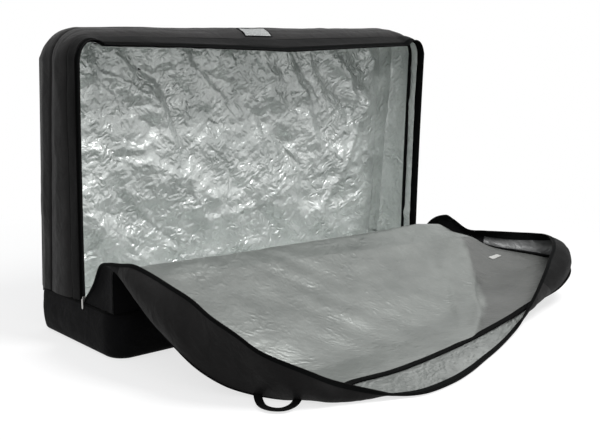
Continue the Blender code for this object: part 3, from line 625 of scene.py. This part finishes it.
def lid_surface(u, v):
    """The lid from the foot of its upright strip (v 0) over the ridge to the far seam (v 1)."""
    shares = (0, 0.08, 0.15, 0.2, FOOT_SHARE, 1.0)
    left = keyed(SEAM, np.interp(v, shares, (0, 1.0, 2.0, 2.9, LEFT_CUT, LEFT_CORNER)))
    places = (END, END - 1, END - 2, END - 3.1, RIGHT_CUT, RIGHT_CORNER)
    right = keyed(SEAM, np.interp(v, shares, places))
    far = keyed(SEAM, LEFT_CORNER + (RIGHT_CORNER - LEFT_CORNER) * u)
    near = left[0] + (right[0] - left[0]) * u[:, None]
    U, V = u[None, :, None], v[:, None, None]
    grid = (1 - U) * left[:, None] + U * right[:, None] + (1 - V) * near[None] + V * far[None]
    corners = (1 - U) * (1 - V) * left[0] + U * (1 - V) * right[0]
    corners = corners + (1 - U) * V * left[-1] + U * V * right[-1]
    grid = grid - corners
    places = (0, 0.1, 0.2, 0.5, 0.7, 0.85, 0.93, 1)
    rise = np.interp(u, places, (0, 0.004, 0.01, 0.026, 0.036, 0.046, 0.034, 0))
    fade = np.interp(v, (0, 0.1, 0.18, 0.27, 0.45, 0.8), (0, 0.5, 1, 1, 0.62, 0))
    blur = 9
    fade = np.convolve(np.pad(fade, blur // 2, mode="edge"), np.ones(blur) / blur, mode="valid")
    grid[..., 2] += rise[None, :] * fade[:, None]
    return grid


def lid_relief(grid, u, v):
    """How far the lid's creases and soft folds stand out."""
    relief = crumple(grid, (0.22, 0.1, 0.3), 5, 3, 0.5) * 0.0035
    relief = relief + ripple(grid, (0.05, 0.035, 0.05), 9) * 0.001
    past = u[None, :] - read_off(CREASE, v)[:, None]
    fold = np.exp(-np.abs(past) / np.where(past < 0, 0.045, 0.012))
    fold = CREASE_HEIGHT * fold - CREASE_STEP * smooth(0, 0.05, past)
    relief = relief + fold * smooth(0.28, 0.36, v)[:, None]
    beside = np.exp(-np.abs((past - BESIDE) / np.where(past < BESIDE, 0.014, 0.03)) ** 1.5)
    fade = smooth(0.36, 0.5, v) * (1 - smooth(0.72, 0.88, v))
    relief = relief + BESIDE_HEIGHT * beside * fade[:, None]
    slant = grid[..., 0] * 0.9 + grid[..., 1] * 1.25
    swell = 0.0022 * np.sin(slant * 46 + 3 * ripple(grid, 0.2, 12))
    return relief + swell * np.clip(ripple(grid, 0.25, 13), 0, 1)


def build_lid():
    """The lid and its upright foot. Gives the lining's upper face."""
    u = np.linspace(0, 1, LID_COLUMNS)
    foot = np.linspace(0, FOOT_SHARE, FOOT_ROWS)
    v = np.concatenate([foot, np.linspace(FOOT_SHARE, 1, LID_ROWS)[1:]])
    plain = lid_surface(u, v)
    edge = np.minimum(np.minimum(u, 1 - u)[None, :] * 14, ((1 - v) * 9)[:, None])
    edge = np.clip(edge, 0, 1) ** 0.5
    relief = lid_relief(plain, u, v) * edge * smooth(0.1, 0.24, v)[:, None]
    grid = plain + normals(plain) * relief[..., None]
    up = normals(grid)
    thick = (0.0008 + 0.0028 * edge)[..., None]
    grid[..., 2] = np.maximum(grid[..., 2], LID_LEVELS[-1])
    heights = (-0.0008 - thick, -0.0002, 0.0002, 0.0004 + thick)
    levels = [grid + up * height for height in heights]
    for level, lowest in zip(levels, LID_LEVELS):
        level[..., 2] = np.maximum(level[..., 2], lowest)
    near, far = slice(FOOT_ROWS), slice(FOOT_ROWS - 1, None)
    root = shell("lid_foot_cloth", levels[0][near], levels[1][near], NYLON_PAINTED_SHADE)
    lining = shell("lid_foot_foil", levels[2][near], levels[3][near], FOOT_FOIL)
    OVER_RIDGE(root)
    OVER_RIDGE(lining)
    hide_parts("lid_foot_shell", "lid_fold_shell", "lid_foot_foam")
    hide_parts("lid_foot_lining", "lid_fold_lining")
    outside = shell("lid_cloth", levels[0][far], levels[1][far], NYLON)
    inside = shell("lid_foil", levels[2][far], levels[3][far], LID_FOIL)
    INTO_LID(outside)
    INTO_LID(inside)
    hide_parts("lid_panel_shell", "lid_panel_foam")
    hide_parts("lid_panel_lining")
    cut_from(plain[near])
    cut_from(plain[far])
    return levels[3]


# A bound seam's lowest level, and the share of the gusset that gives its way out
SEAM_LEVEL, SEAM_WAY = 0.006, 0.12


def seam(side, reach, wide, thick, lift, lean, move):
    """A bound seam along the lid's edge, a little above the cloth and leaning in over it."""
    t = np.linspace(*reach, int((reach[1] - reach[0]) * 10))
    path = keyed(SEAM, t)
    outward = gusset(t, [SEAM_WAY])[:, 0] - path
    path[:, 2] = np.maximum(path[:, 2], SEAM_LEVEL) + lift
    piece = tube(f"{side}_seam_tape", path - outward * lean, wide, thick, (0, 0, 1), BINDING)
    move(piece)
    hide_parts(f"lid_{side}_seam_binding")


def build_seams():
    on_lid = lambda piece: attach(piece, "lid")
    seam("far", (LEFT_CORNER, RIGHT_CORNER), 0.019, 0.007, 0.004, 0.2, on_lid)
    seam("right", (RIGHT_CORNER, RIGHT_CUT), 0.016, 0.009, 0.004, 0.1, INTO_LID)
    seam("left", (LEFT_CUT, LEFT_CORNER), 0.01, 0.005, 0.003, 0.1, INTO_LID)


# The standing body


def fixed(piece, *nodes):
    """The piece, riding on the standing body in the place of the nodes."""
    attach(piece, "bag_body")
    if nodes:
        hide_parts(*nodes)
    return piece


ARCH_RADIUS = 0.078
CORNER_STEPS, SIDE_STEPS, TOP_STEPS = 17, 54, 104


def arch():
    """The outline up the left end, over the top and down the right end, with its outward directions."""
    r = ARCH_RADIUS
    turn = np.linspace(0, np.pi / 2, CORNER_STEPS)
    left = [(0, z) for z in np.linspace(BOOT_TOP, TALL - r, SIDE_STEPS)[:-1]]
    first = [(r - r * math.cos(a), TALL - r + r * math.sin(a)) for a in turn]
    top = [(x, TALL) for x in np.linspace(r, LONG - r, TOP_STEPS)[1:-1]]
    second = [(LONG - r + r * math.sin(a), TALL - r + r * math.cos(a)) for a in turn]
    right = [(LONG, z) for z in np.linspace(TALL - r, BOOT_TOP, SIDE_STEPS)[1:]]
    line = np.array([*left, *first, *top, *second, *right])
    out = [(-1, 0)] * len(left) + [(-math.cos(a), math.sin(a)) for a in turn] + [(0, 1)] * len(top)
    out += [(math.sin(a), math.cos(a)) for a in turn] + [(1, 0)] * len(right)
    return line, np.array(out, float)


LINE, OUT = arch()
SIDE_INSET = (
    (0, 0.006), (0.08, -0.004), (0.22, -0.01), (0.4, -0.005), (0.55, -0.01),
    (0.68, -0.007), (0.76, -0.002), (0.88, 0.001), (1, 0.003),
)
TOP_INSET = (
    (0, 0.03), (0.06, 0.012), (0.15, 0.002), (0.3, -0.004), (0.4, -0.002),
    (0.55, 0.002), (0.68, 0.012), (0.76, 0.024), (0.88, 0.04), (1, 0.054),
)
SAG = ((0, 0.7), (0.05, 0.7), (0.35, 0.87), (0.6, 1.07), (0.68, 1.15), (1.0, 0.98), (1.25, 0.87))
UPWARD = np.stack([OUT[:, 0], np.zeros(len(OUT)), OUT[:, 1]], axis=1)
# Shares of the way from the back seam to the zip: the middle seam and the zip's facing
MID_SEAM, FACING = 0.4, 0.76
# The back's depth at the boot, its lean forward for each metre up, and the level it starts at
BACK_FOOT, BACK_LEAN, BACK_LEVEL = 0.402, 0.073, 0.108
FACING_REACH = 0.058
STRIP_THICKNESS, FACING_THICKNESS, FOIL_THICKNESS = 0.008, 0.004, 0.0012


def back_depth(level):
    return BACK_FOOT - BACK_LEAN * (level - BACK_LEVEL)


def band(shares, inward=0.0):
    """The body's side and top cloth: rows along the outline, columns from back seam (0) to zip (1)."""
    shares = np.asarray(shares, float)
    x, z = LINE.T
    topness = np.clip(OUT[:, 1], 0, 1)
    level = np.minimum(z, 0.8)
    middle = 0.333 - 0.0995 * (level - 0.123)
    edge = 0.163 - 0.012 * level - 0.026 * level**2
    knots = np.stack([back_depth(level), middle, edge + FACING_REACH, edge], axis=1)
    y = np.stack([np.interp(shares, (0, MID_SEAM, FACING, 1.0), row) for row in knots])
    over = np.where(shares > 0.6, read_off(SAG, x)[:, None], 1.0)
    inset = read_off(SIDE_INSET, shares) * (1 - topness[:, None])
    inset = inset + read_off(TOP_INSET, shares) * over * topness[:, None]
    pinch = 0.0045 * np.exp(-(((shares - MID_SEAM) / 0.014) ** 2))
    pinch = pinch + 0.003 * np.exp(-(((shares - FACING) / 0.016) ** 2))
    corner = np.abs(2 * OUT[:, 0] * OUT[:, 1]) ** 1.2
    inset = inset + pinch + inward - 0.017 * corner[:, None] * smooth(0.5, 1.0, shares)
    flat = LINE[:, None] - OUT[:, None] * inset[..., None]
    return np.stack([flat[..., 0], y, flat[..., 1]], axis=-1)


def fatten(grid, amount):
    """Pushes a body grid outwards along the outline's own direction."""
    return grid + UPWARD[:, None] * amount[..., None]


def wall(name, reach, columns, look, thick):
    """One strip of the body's side and top cloth, with its wrinkles."""
    outer = band(np.linspace(*reach, columns))
    wrinkles = crumple(outer, (0.12, 0.07, 0.12), 41, 3) * 0.0022 + ripple(outer, 0.2, 45) * 0.003
    wrinkles = wrinkles + ripple(outer, (0.02, 0.06, 0.02), 47) * 0.0006
    outer = fatten(outer, wrinkles * np.sin(np.linspace(0, np.pi, columns))[None] ** 0.5)
    return shell(name, outer, fatten(outer, np.full(outer.shape[:2], -thick)), look)


def build_body():
    rear = wall("rear_gusset_cloth", (0.0, 0.398), 16, NYLON, STRIP_THICKNESS)
    fixed(rear, "rear_gusset_shell", "body_gusset_foam")
    front = wall("front_gusset_cloth", (0.402, 0.758), 16, NYLON, STRIP_THICKNESS)
    fixed(front, "front_gusset_shell")
    reach, columns = (0.762, 0.922), 10
    facing = fixed(wall("zip_facing", reach, columns, STRIP_PAINTED_SHADE, FACING_THICKNESS))
    cut_from(band(np.linspace(*reach, columns)))
    for name, share, wide, thick, lift, nodes in (
        ("mid_seam_piping", MID_SEAM, 0.005, 0.0042, 0.0008, ["mid_seam_binding"]),
        ("back_seam_piping", 0.0, 0.006, 0.006, 0.0008, ["back_seam_binding"]),
        ("facing_seam", FACING, 0.0032, 0.0026, -0.0006, []),
    ):
        path = band([share])[:, 0]
        fixed(tube(name, path + UPWARD * lift, wide, thick, UPWARD, BINDING, 8), *nodes)
    path = band([1.0], 0.001)[:, 0] - (0, 0.0016, 0)
    coil = tube("body_zip_coil", path[2:-2], 0.005, 0.0034, UPWARD[2:-2], COIL, 8)
    fixed(coil, "body_zip_chain")
    shares = np.linspace(0.88, 1.0, 6)
    depths = np.array([0.0046] * 4 + [0.0044, 0.0026])
    tape = shell("body_zip_tape_cloth", band(shares, depths), band(shares, depths + 0.0015), TAPE)
    fixed(tape, "body_zip_tape")

    shares = np.linspace(0.02, 0.93, 40)
    plain = band(shares, 0.0125)
    fade = np.sin(np.linspace(0.05, np.pi - 0.05, 40))[None] ** 0.4
    run = lengths(plain, 0)
    pushed = facets(run, plain[..., 1], 0.9, (0.11, 0.05), 61) * 0.006
    pushed = pushed + facets(run, plain[..., 1], 2.2, (0.05, 0.026), 64) * 0.003
    pushed = pushed + ripple(plain, 0.16, 66) * 0.004
    inner = fatten(plain, -np.abs(pushed) * fade)
    behind = fatten(inner, np.full(inner.shape[:2], FOIL_THICKNESS))
    lining = shell("body_gusset_foil", inner, behind, BODY_FOIL)
    fixed(lining, "body_gusset_lining")
    path = band([0.8], 0.015)[:, 0]
    bound = tube("inner_bound_seam", path, 0.013, 0.008, UPWARD, BINDING, 8)
    fixed(bound)
    cut_from(plain)


# Folds of the back lining: points along each, and how far it stands out
BACK_FOLDS = (
    (((0.15, 0.7), (0.26, 0.68), (0.35, 0.61)), 0.016),
    (((0.29, 0.77), (0.44, 0.65), (0.53, 0.57)), -0.014),
    (((0.41, 0.77), (0.58, 0.61)), 0.012),
    (((0.12, 0.51), (0.28, 0.45), (0.49, 0.38), (0.58, 0.29)), 0.009),
    (((0.11, 0.42), (0.24, 0.34), (0.38, 0.23)), -0.008),
    (((0.55, 0.69), (0.7, 0.62), (0.74, 0.58)), -0.01),
    (((0.74, 0.62), (0.92, 0.53), (1.05, 0.41)), 0.014),
    (((0.66, 0.76), (0.88, 0.62)), 0.01),
    (((0.92, 0.76), (1.12, 0.64)), -0.012),
    (((0.12, 0.58), (0.22, 0.53)), 0.01),
    (((0.12, 0.31), (0.21, 0.23)), 0.01),
    (((1.05, 0.73), (1.19, 0.55)), 0.01),
    (((1.17, 0.58), (1.09, 0.4), (1, 0.22)), 0.014),
    (((0.08, 0.66), (0.16, 0.69), (0.33, 0.55)), -0.014),
    (((0.6, 0.63), (0.71, 0.57), (0.84, 0.45)), -0.014),
    (((0.18, 0.77), (0.26, 0.73)), 0.008),
)
# Crinkles of the back lining: their turn in degrees, the facets' size, a seed and a height
CRINKLES = (
    (-38, (0.2, 0.075), 201, 0.0115),
    (-62, (0.11, 0.045), 211, 0.007),
    (20, (0.09, 0.04), 221, 0.0048),
    (-30, (0.05, 0.024), 231, 0.003),
    (55, (0.034, 0.018), 241, 0.002),
)
STEEP_SIDE, GENTLE_SIDE = 0.02, 0.05
BACK_RADIUS = 0.075
BACK_TOP = TALL - 0.02


def fold_height(x, z):
    """How far the back lining's large folds stand out, for places on it."""
    total = np.zeros_like(x)
    wobble = ripple(np.stack([x, z, 0 * x], axis=-1), 0.07, 91) * 0.018
    for line, height in BACK_FOLDS:
        near = np.full(x.shape, np.inf)
        side = np.zeros_like(x)
        for (x0, z0), (x1, z1) in zip(line, line[1:]):
            dx, dz = x1 - x0, z1 - z0
            t = np.clip(((x - x0) * dx + (z - z0) * dz) / (dx * dx + dz * dz), 0, 1)
            px, pz = x - x0 - t * dx, z - z0 - t * dz
            reach = np.hypot(px, pz)
            closer = reach < near
            near = np.where(closer, reach, near)
            side = np.where(closer, np.sign(dx * pz - dz * px), side)
        reach = np.maximum(near + wobble * side, 0)
        width = np.where(side > 0, STEEP_SIDE, GENTLE_SIDE)
        total += height * np.exp(-((reach / width) ** 1.3))
    return total


def rounded(x, y, centre, ways, radius):
    """Two grids of coordinates, drawn in to a round corner. ways are the signs of its directions."""
    dx, dy = x - centre[0], y - centre[1]
    reach = np.hypot(dx, dy)
    out = (dx * ways[0] > 0) & (dy * ways[1] > 0) & (reach > radius)
    scale = radius / np.maximum(reach, TINY)
    return np.where(out, centre[0] + dx * scale, x), np.where(out, centre[1] + dy * scale, y)


def leaning(limits_x, limits_z, columns, rows):
    """Places over the back inside its round upper corners, its depth there, and how far in they lie."""
    x, z = np.meshgrid(np.linspace(*limits_x, columns), np.linspace(*limits_z, rows))
    for middle, way in ((BACK_RADIUS, -1), (LONG - BACK_RADIUS, 1)):
        x, z = rounded(x, z, (middle, BACK_TOP - BACK_RADIUS), (way, 1), BACK_RADIUS)
    inside = np.minimum(np.minimum(x, LONG - x), np.minimum(TALL - z, z - 0.09))
    return x, z, back_depth(z), inside


def build_back():
    x, z, lean, inside = leaning((0.006, LONG - 0.006), (0.1, TALL - 0.022), 300, 170)
    edge = np.clip(inside * 22, 0, 1)
    relief = fold_height(x, z)
    for turn, size, seed, height in CRINKLES:
        relief = relief + facets(x, z, math.radians(turn), size, seed) * height
    front = np.stack([x, lean - 0.018 - (relief + 0.012) * edge, z], axis=-1)
    lining = shell("back_panel_foil", front, front + (0, FOIL_THICKNESS, 0), BODY_FOIL)
    fixed(lining, "back_panel_lining")
    cut_from(np.stack([x, lean, z], axis=-1))

    x, z, lean, inside = leaning((0.002, LONG - 0.002), (0.11, TALL - 0.021), 100, 60)
    edge = np.clip(inside * 9, 0, 1) ** 0.6
    place = np.stack([x, z, 0 * x], axis=-1)
    bulge = 0.009 + crumple(place, (0.2, 0.12, 1), 51, 3) * 0.003 + ripple(place, 0.3, 55) * 0.004
    outer = np.stack([x, lean + bulge * edge - 0.004, z], axis=-1)
    panel = shell("back_panel_cloth", outer, np.stack([x, lean - 0.012, z], axis=-1), NYLON)
    fixed(panel, "back_panel_shell", "back_panel_foam")


# The boot's profile, as levels and how far out it stands, and its corners' radii
BOOT_SIDE = (
    (0.0006, -0.014), (0.003, -0.006), (0.01, 0), (0.03, 0.003), (0.06, 0.005),
    (0.09, 0.005), (0.108, 0.004), (0.116, 0.002), (0.124, 0.002),
)
BOOT_RADII = (0.024, 0.024, 0.055, 0.055)
BOOT_CORNER_STEPS = 13
HEM = ((0.118, 0), (0.1185, 0.003), (0.121, 0.0034), (0.1245, 0.003), (0.125, 0))
# How far out from the boot's outline these faces stand
HEM_BACK, WALL_BACK, LINING_BACK, LINING_FACE = -0.002, -0.012, -0.013, -0.015
FLOOR_RADIUS = 0.055


def boot_ring(outset, step=0.014):
    """The boot's outline from above at an outset, and its outward directions."""
    points, out = [], []
    corners = ((LONG, DEEP), (0, DEEP), (0, 0), (LONG, 0))
    for quarter, (radius, (x, y)) in enumerate(zip(BOOT_RADII, corners)):
        cx, cy = abs(x - radius), abs(y - radius)
        turns = np.linspace(quarter * np.pi / 2, (quarter + 1) * np.pi / 2, BOOT_CORNER_STEPS)
        for a in turns:
            out.append((math.cos(a), math.sin(a)))
            points.append((cx + radius * math.cos(a), cy + radius * math.sin(a)))
    points, out = np.array(points), np.array(out)
    places, ways = [], []
    for a, b, way_a, way_b in zip(points, np.roll(points, -1, axis=0), out, np.roll(out, -1, axis=0)):
        count = max(int(np.linalg.norm(b - a) / step), 1)
        for share in np.arange(count) / count:
            places.append(a + (b - a) * share)
            ways.append(way_a + (way_b - way_a) * share)
    ways = unit(np.array(ways))
    return np.array(places) + ways * outset, ways


def boot_grid(levels, outsets):
    rows = []
    for level, outset in zip(levels, np.broadcast_to(outsets, len(levels))):
        ring = boot_ring(outset)[0]
        rows.append(np.column_stack([ring, np.full(len(ring), level)]))
    return np.array(rows)


def floor_piece(name, low, high, inset, relief, look):
    """A flat layer of the base inside its rounded corners, and its smooth upper face."""
    x, y = np.meshgrid(np.linspace(inset, LONG - inset, 140), np.linspace(inset, DEEP - inset, 46))
    for way_x, way_y in itertools.product((-1, 1), repeat=2):
        middle_x = LONG / 2 + way_x * (LONG / 2 - FLOOR_RADIUS)
        middle_y = DEEP / 2 + way_y * (DEEP / 2 - FLOOR_RADIUS)
        x, y = rounded(x, y, (middle_x, middle_y), (way_x, way_y), FLOOR_RADIUS - inset)
    plain = np.stack([x, y, np.full_like(x, high)], axis=-1)
    lumps = np.abs(crumple(plain, (0.16, 0.16, 1), 95, 4))[..., None] * (0, 0, relief)
    return shell(name, plain + lumps, plain + (0, 0, low - high), look), plain


def build_boot():
    steps = np.linspace(0, len(BOOT_SIDE) - 1, 22)
    levels, outset = np.array(BOOT_SIDE).T
    levels = np.interp(steps, range(len(BOOT_SIDE)), levels)
    outset = keyed(outset, steps)[:, 0]
    outer = boot_grid(levels, outset)
    out = boot_ring(0)[1]
    push = np.column_stack([out, np.zeros(len(out))])[None]
    swell = ripple(outer, 0.22, 81) * 0.004 + crumple(outer, (0.14, 0.14, 0.05), 85, 3) * 0.0026
    fade = np.sin(np.clip((outer[..., 2:] - 0.004) / 0.116, 0, 1) * np.pi) ** 0.6
    outer = outer + push * swell[..., None] * fade
    # The boot's side in the darker nylon, which paints its shade
    side = shell("boot_cloth", outer, boot_grid(levels, WALL_BACK), NYLON_PAINTED_SHADE, ring=True)
    fixed(side, "boot_wall_shell", "boot_wall_foam")
    levels, outset = np.array(HEM).T
    edge = boot_grid(levels, outset)
    edge = shell("boot_hem", edge, boot_grid(levels, HEM_BACK), BINDING, ring=True)
    fixed(edge, "boot_hem_binding")
    steps = np.linspace(0.014, 0.128, 14)
    plain = boot_grid(steps, LINING_FACE)
    dent = np.abs(crumple(plain, (0.09, 0.09, 0.06), 87, 3))[..., None] * 0.004
    face = plain - push * dent
    lining = shell("boot_foil", face, boot_grid(steps, LINING_BACK), BODY_FOIL, ring=True)
    fixed(lining, "boot_wall_lining")
    cut_from(plain, ring=True)

    base = floor_piece("base_cloth", 0.0006, 0.006, 0.022, 0, NYLON_PAINTED_SHADE)[0]
    fixed(base, "base_floor_shell", "base_floor_foam", "base_stiffener_board")
    lining, plain = floor_piece("base_foil", 0.01, 0.013, 0.016, 0.008, BODY_FOIL)
    fixed(lining, "base_floor_lining")
    cut_from(plain)


STRAP_WIDTH, STRAP_THICKNESS = 0.02, 0.0036
# The card window's ends along the top, and where the label lies on the lid
WINDOW_START, WINDOW_END = 0.562, 0.672
LABEL_X, LABEL_Y = 1.24, -0.187


def build_handle():
    """The webbing loop at the lid's far left corner: out of the seam, over the floor and back in."""
    keys = (
        (0.122, -0.424, 0.012), (0.102, -0.456, 0.009), (0.091, -0.484, 0.007),
        (0.095, -0.511, 0.007), (0.114, -0.527, 0.007), (0.142, -0.525, 0.008),
        (0.168, -0.51, 0.01), (0.19, -0.492, 0.012),
    )
    path = keyed(keys, np.linspace(0, len(keys) - 1, 60))
    strap = tube("grab_loop", path, STRAP_WIDTH, STRAP_THICKNESS, (0, 0, 1), WEBBING, 12)
    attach(strap, "lid")
    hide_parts("lid_grab_handle")


def build_marks(lining):
    """The blank card window on top and the blank label on the lid's lining, near its right seam."""
    clear = woven(
        "card_film", (0.42, 0.43, 0.42), (0.26, 0.27, 0.27), 0.25, crinkle=0.6, size=0.012, specular=0.6,
    )
    paper = woven("label_cloth", (0.62, 0.62, 0.6), (0.5, 0.5, 0.48), 0.7, weave=0.4, crinkle=0.2)
    x, z = LINE.T
    face = band(np.linspace(0.53, 0.74, 9))[(z > TALL - 0.001) & (x > WINDOW_START) & (x < WINDOW_END)]
    ripples = ripple(face, 0.02, 17)[..., None] * (0, 0, 0.0008)
    window = shell("card_window", face + (0, 0, 0.0036) + ripples, face + (0, 0, 0.0014), clear)
    fixed(window, "blank_card_window")
    loop = np.concatenate([face[0], face[:, -1][1:], face[-1][::-1][1:], face[::-1, 0][1:]])
    frame_tape = tube("card_window_edge", loop + (0, 0, 0.003), 0.005, 0.003, (0, 0, 1), BINDING, 8)
    fixed(frame_tape)
    reach = np.hypot(lining[..., 0] - LABEL_X, lining[..., 1] - LABEL_Y)
    row, column = np.unravel_index(np.argmin(reach), reach.shape)
    face = lining[row - 1 : row + 3, column - 3 : column + 4]
    label = shell("care_label", face + (0, 0, 0.0018), face + (0, 0, 0.0006), paper)
    INTO_LID(label)
    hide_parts("blank_care_label")


def dress_metal():
    for side, part in itertools.product(("left", "right"), ("slider", "pull", "stop")):
        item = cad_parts[f"{side}_zip_{part}"]
        item.data.materials.clear()
        item.data.materials.append(METAL)


# The studio


WHITE = (1, 1, 1, 1)
# The floor's brightness near the bag, and how far off it turns white
NEAR_GLOW = 0.72
FADE_START, FADE_END = 0.9, 1.9
FLOOR_REACH = 9
# Each lamp's place, target, size and power
LAMPS = {
    "key": ((0.7, -1.9, 2.9), (0, 0, 0.3), 1.2, 78),
    "side": ((-3.0, 0.2, 2.4), (0, 0, 0.5), 1.5, 10),
    "fill": ((-1.3, -3.1, 1.4), (0, 0, 0.5), 2.0, 15),
}
# The camera that was fitted to the photograph
CAMERA_PLACE = (-1.189, -2.137, 0.815)
CAMERA_DOWN, CAMERA_TURN = 0.185, 0.698
LENS, SENSOR = 60, 36


def seen_directly(tree):
    """1 where the camera, a mirror or glass looks at a surface, and 0 for light that bounces off it."""
    rays = add(tree, "LightPath").outputs
    either = reckoned(tree, "MAXIMUM", rays["Is Camera Ray"], rays["Is Glossy Ray"])
    return reckoned(tree, "MAXIMUM", either, rays["Is Transmission Ray"])


def mixed(tree, share, first, second):
    return add(tree, "MixShader", {0: share, 1: first.outputs[0], 2: second.outputs[0]})


def build_world():
    world = bpy.data.worlds.new("studio")
    bpy.context.scene.world = world
    world.use_nodes = True
    tree = world.node_tree
    tree.nodes.clear()
    white = add(tree, "Background", Color=WHITE, Strength=1.0)
    place = add(tree, "TexCoord").outputs["Generated"]
    upward = add(tree, "SeparateXYZ", {0: place}).outputs["Z"]
    rise = mapped(tree, upward, From_Min=0.0, From_Max=0.9, To_Min=0.1, To_Max=0.55)
    soft = add(tree, "Background", {"Strength": rise}, Color=(0.97, 0.98, 1, 1))
    blend = mixed(tree, seen_directly(tree), soft, white)
    add(tree, "OutputWorld", {"Surface": blend.outputs[0]})


def build_floor():
    look = bpy.data.materials.new("pale_floor")
    look.use_nodes = True
    tree = look.node_tree
    tree.nodes.clear()
    glow = add(tree, "Emission", Color=WHITE, Strength=NEAR_GLOW)
    catcher = add(tree, "BsdfDiffuse", Color=(0.36, 0.36, 0.36, 1))
    pale = add(tree, "AddShader", {0: glow.outputs[0], 1: catcher.outputs[0]})
    far = add(tree, "Emission", Color=WHITE, Strength=1.0)
    place = add(tree, "TexCoord").outputs["Object"]
    reach = add(tree, "VectorMath", {0: place}, operation="LENGTH").outputs["Value"]
    fade = mapped(tree, reach, From_Min=FADE_START, From_Max=FADE_END, interpolation_type="SMOOTHSTEP")
    shown = mixed(tree, fade, pale, far)
    dim = add(tree, "BsdfDiffuse", Color=(0.12, 0.12, 0.12, 1))
    whole = mixed(tree, seen_directly(tree), dim, shown)
    add(tree, "OutputMaterial", {"Surface": whole.outputs[0]})
    mesh = bpy.data.meshes.new("floor")
    corners = [(x * FLOOR_REACH, y * FLOOR_REACH, 0) for x, y in ((-1, -1), (1, -1), (1, 1), (-1, 1))]
    mesh.from_pydata(corners, [], [(0, 1, 2, 3)])
    floor = new_object("floor", mesh)
    mesh.materials.append(look)


def build_studio():
    build_world()
    build_floor()
    for name, (start, target, size, power) in LAMPS.items():
        light = bpy.data.lights.new(name, "AREA")
        light.shape = "RECTANGLE"
        light.size, light.size_y = size, size
        light.energy = power
        made = new_object(name, light)
        made.location = start
        made.rotation_euler = (Vector(target) - Vector(start)).to_track_quat("-Z", "Y").to_euler()
    camera = new_object("camera", bpy.data.cameras.new("camera"))
    camera.location = at(CAMERA_PLACE).tolist()
    camera.rotation_euler = (math.pi / 2 - CAMERA_DOWN, 0, -CAMERA_TURN)
    camera.data.lens = LENS
    camera.data.sensor_width = SENSOR
    bpy.context.scene.camera = camera
    bpy.context.scene.view_settings.view_transform = "Standard"


build_boot()
build_body()
build_back()
build_edge()
LINING = build_lid()
build_seams()
build_handle()
build_marks(LINING)
dress_metal()
build_studio()
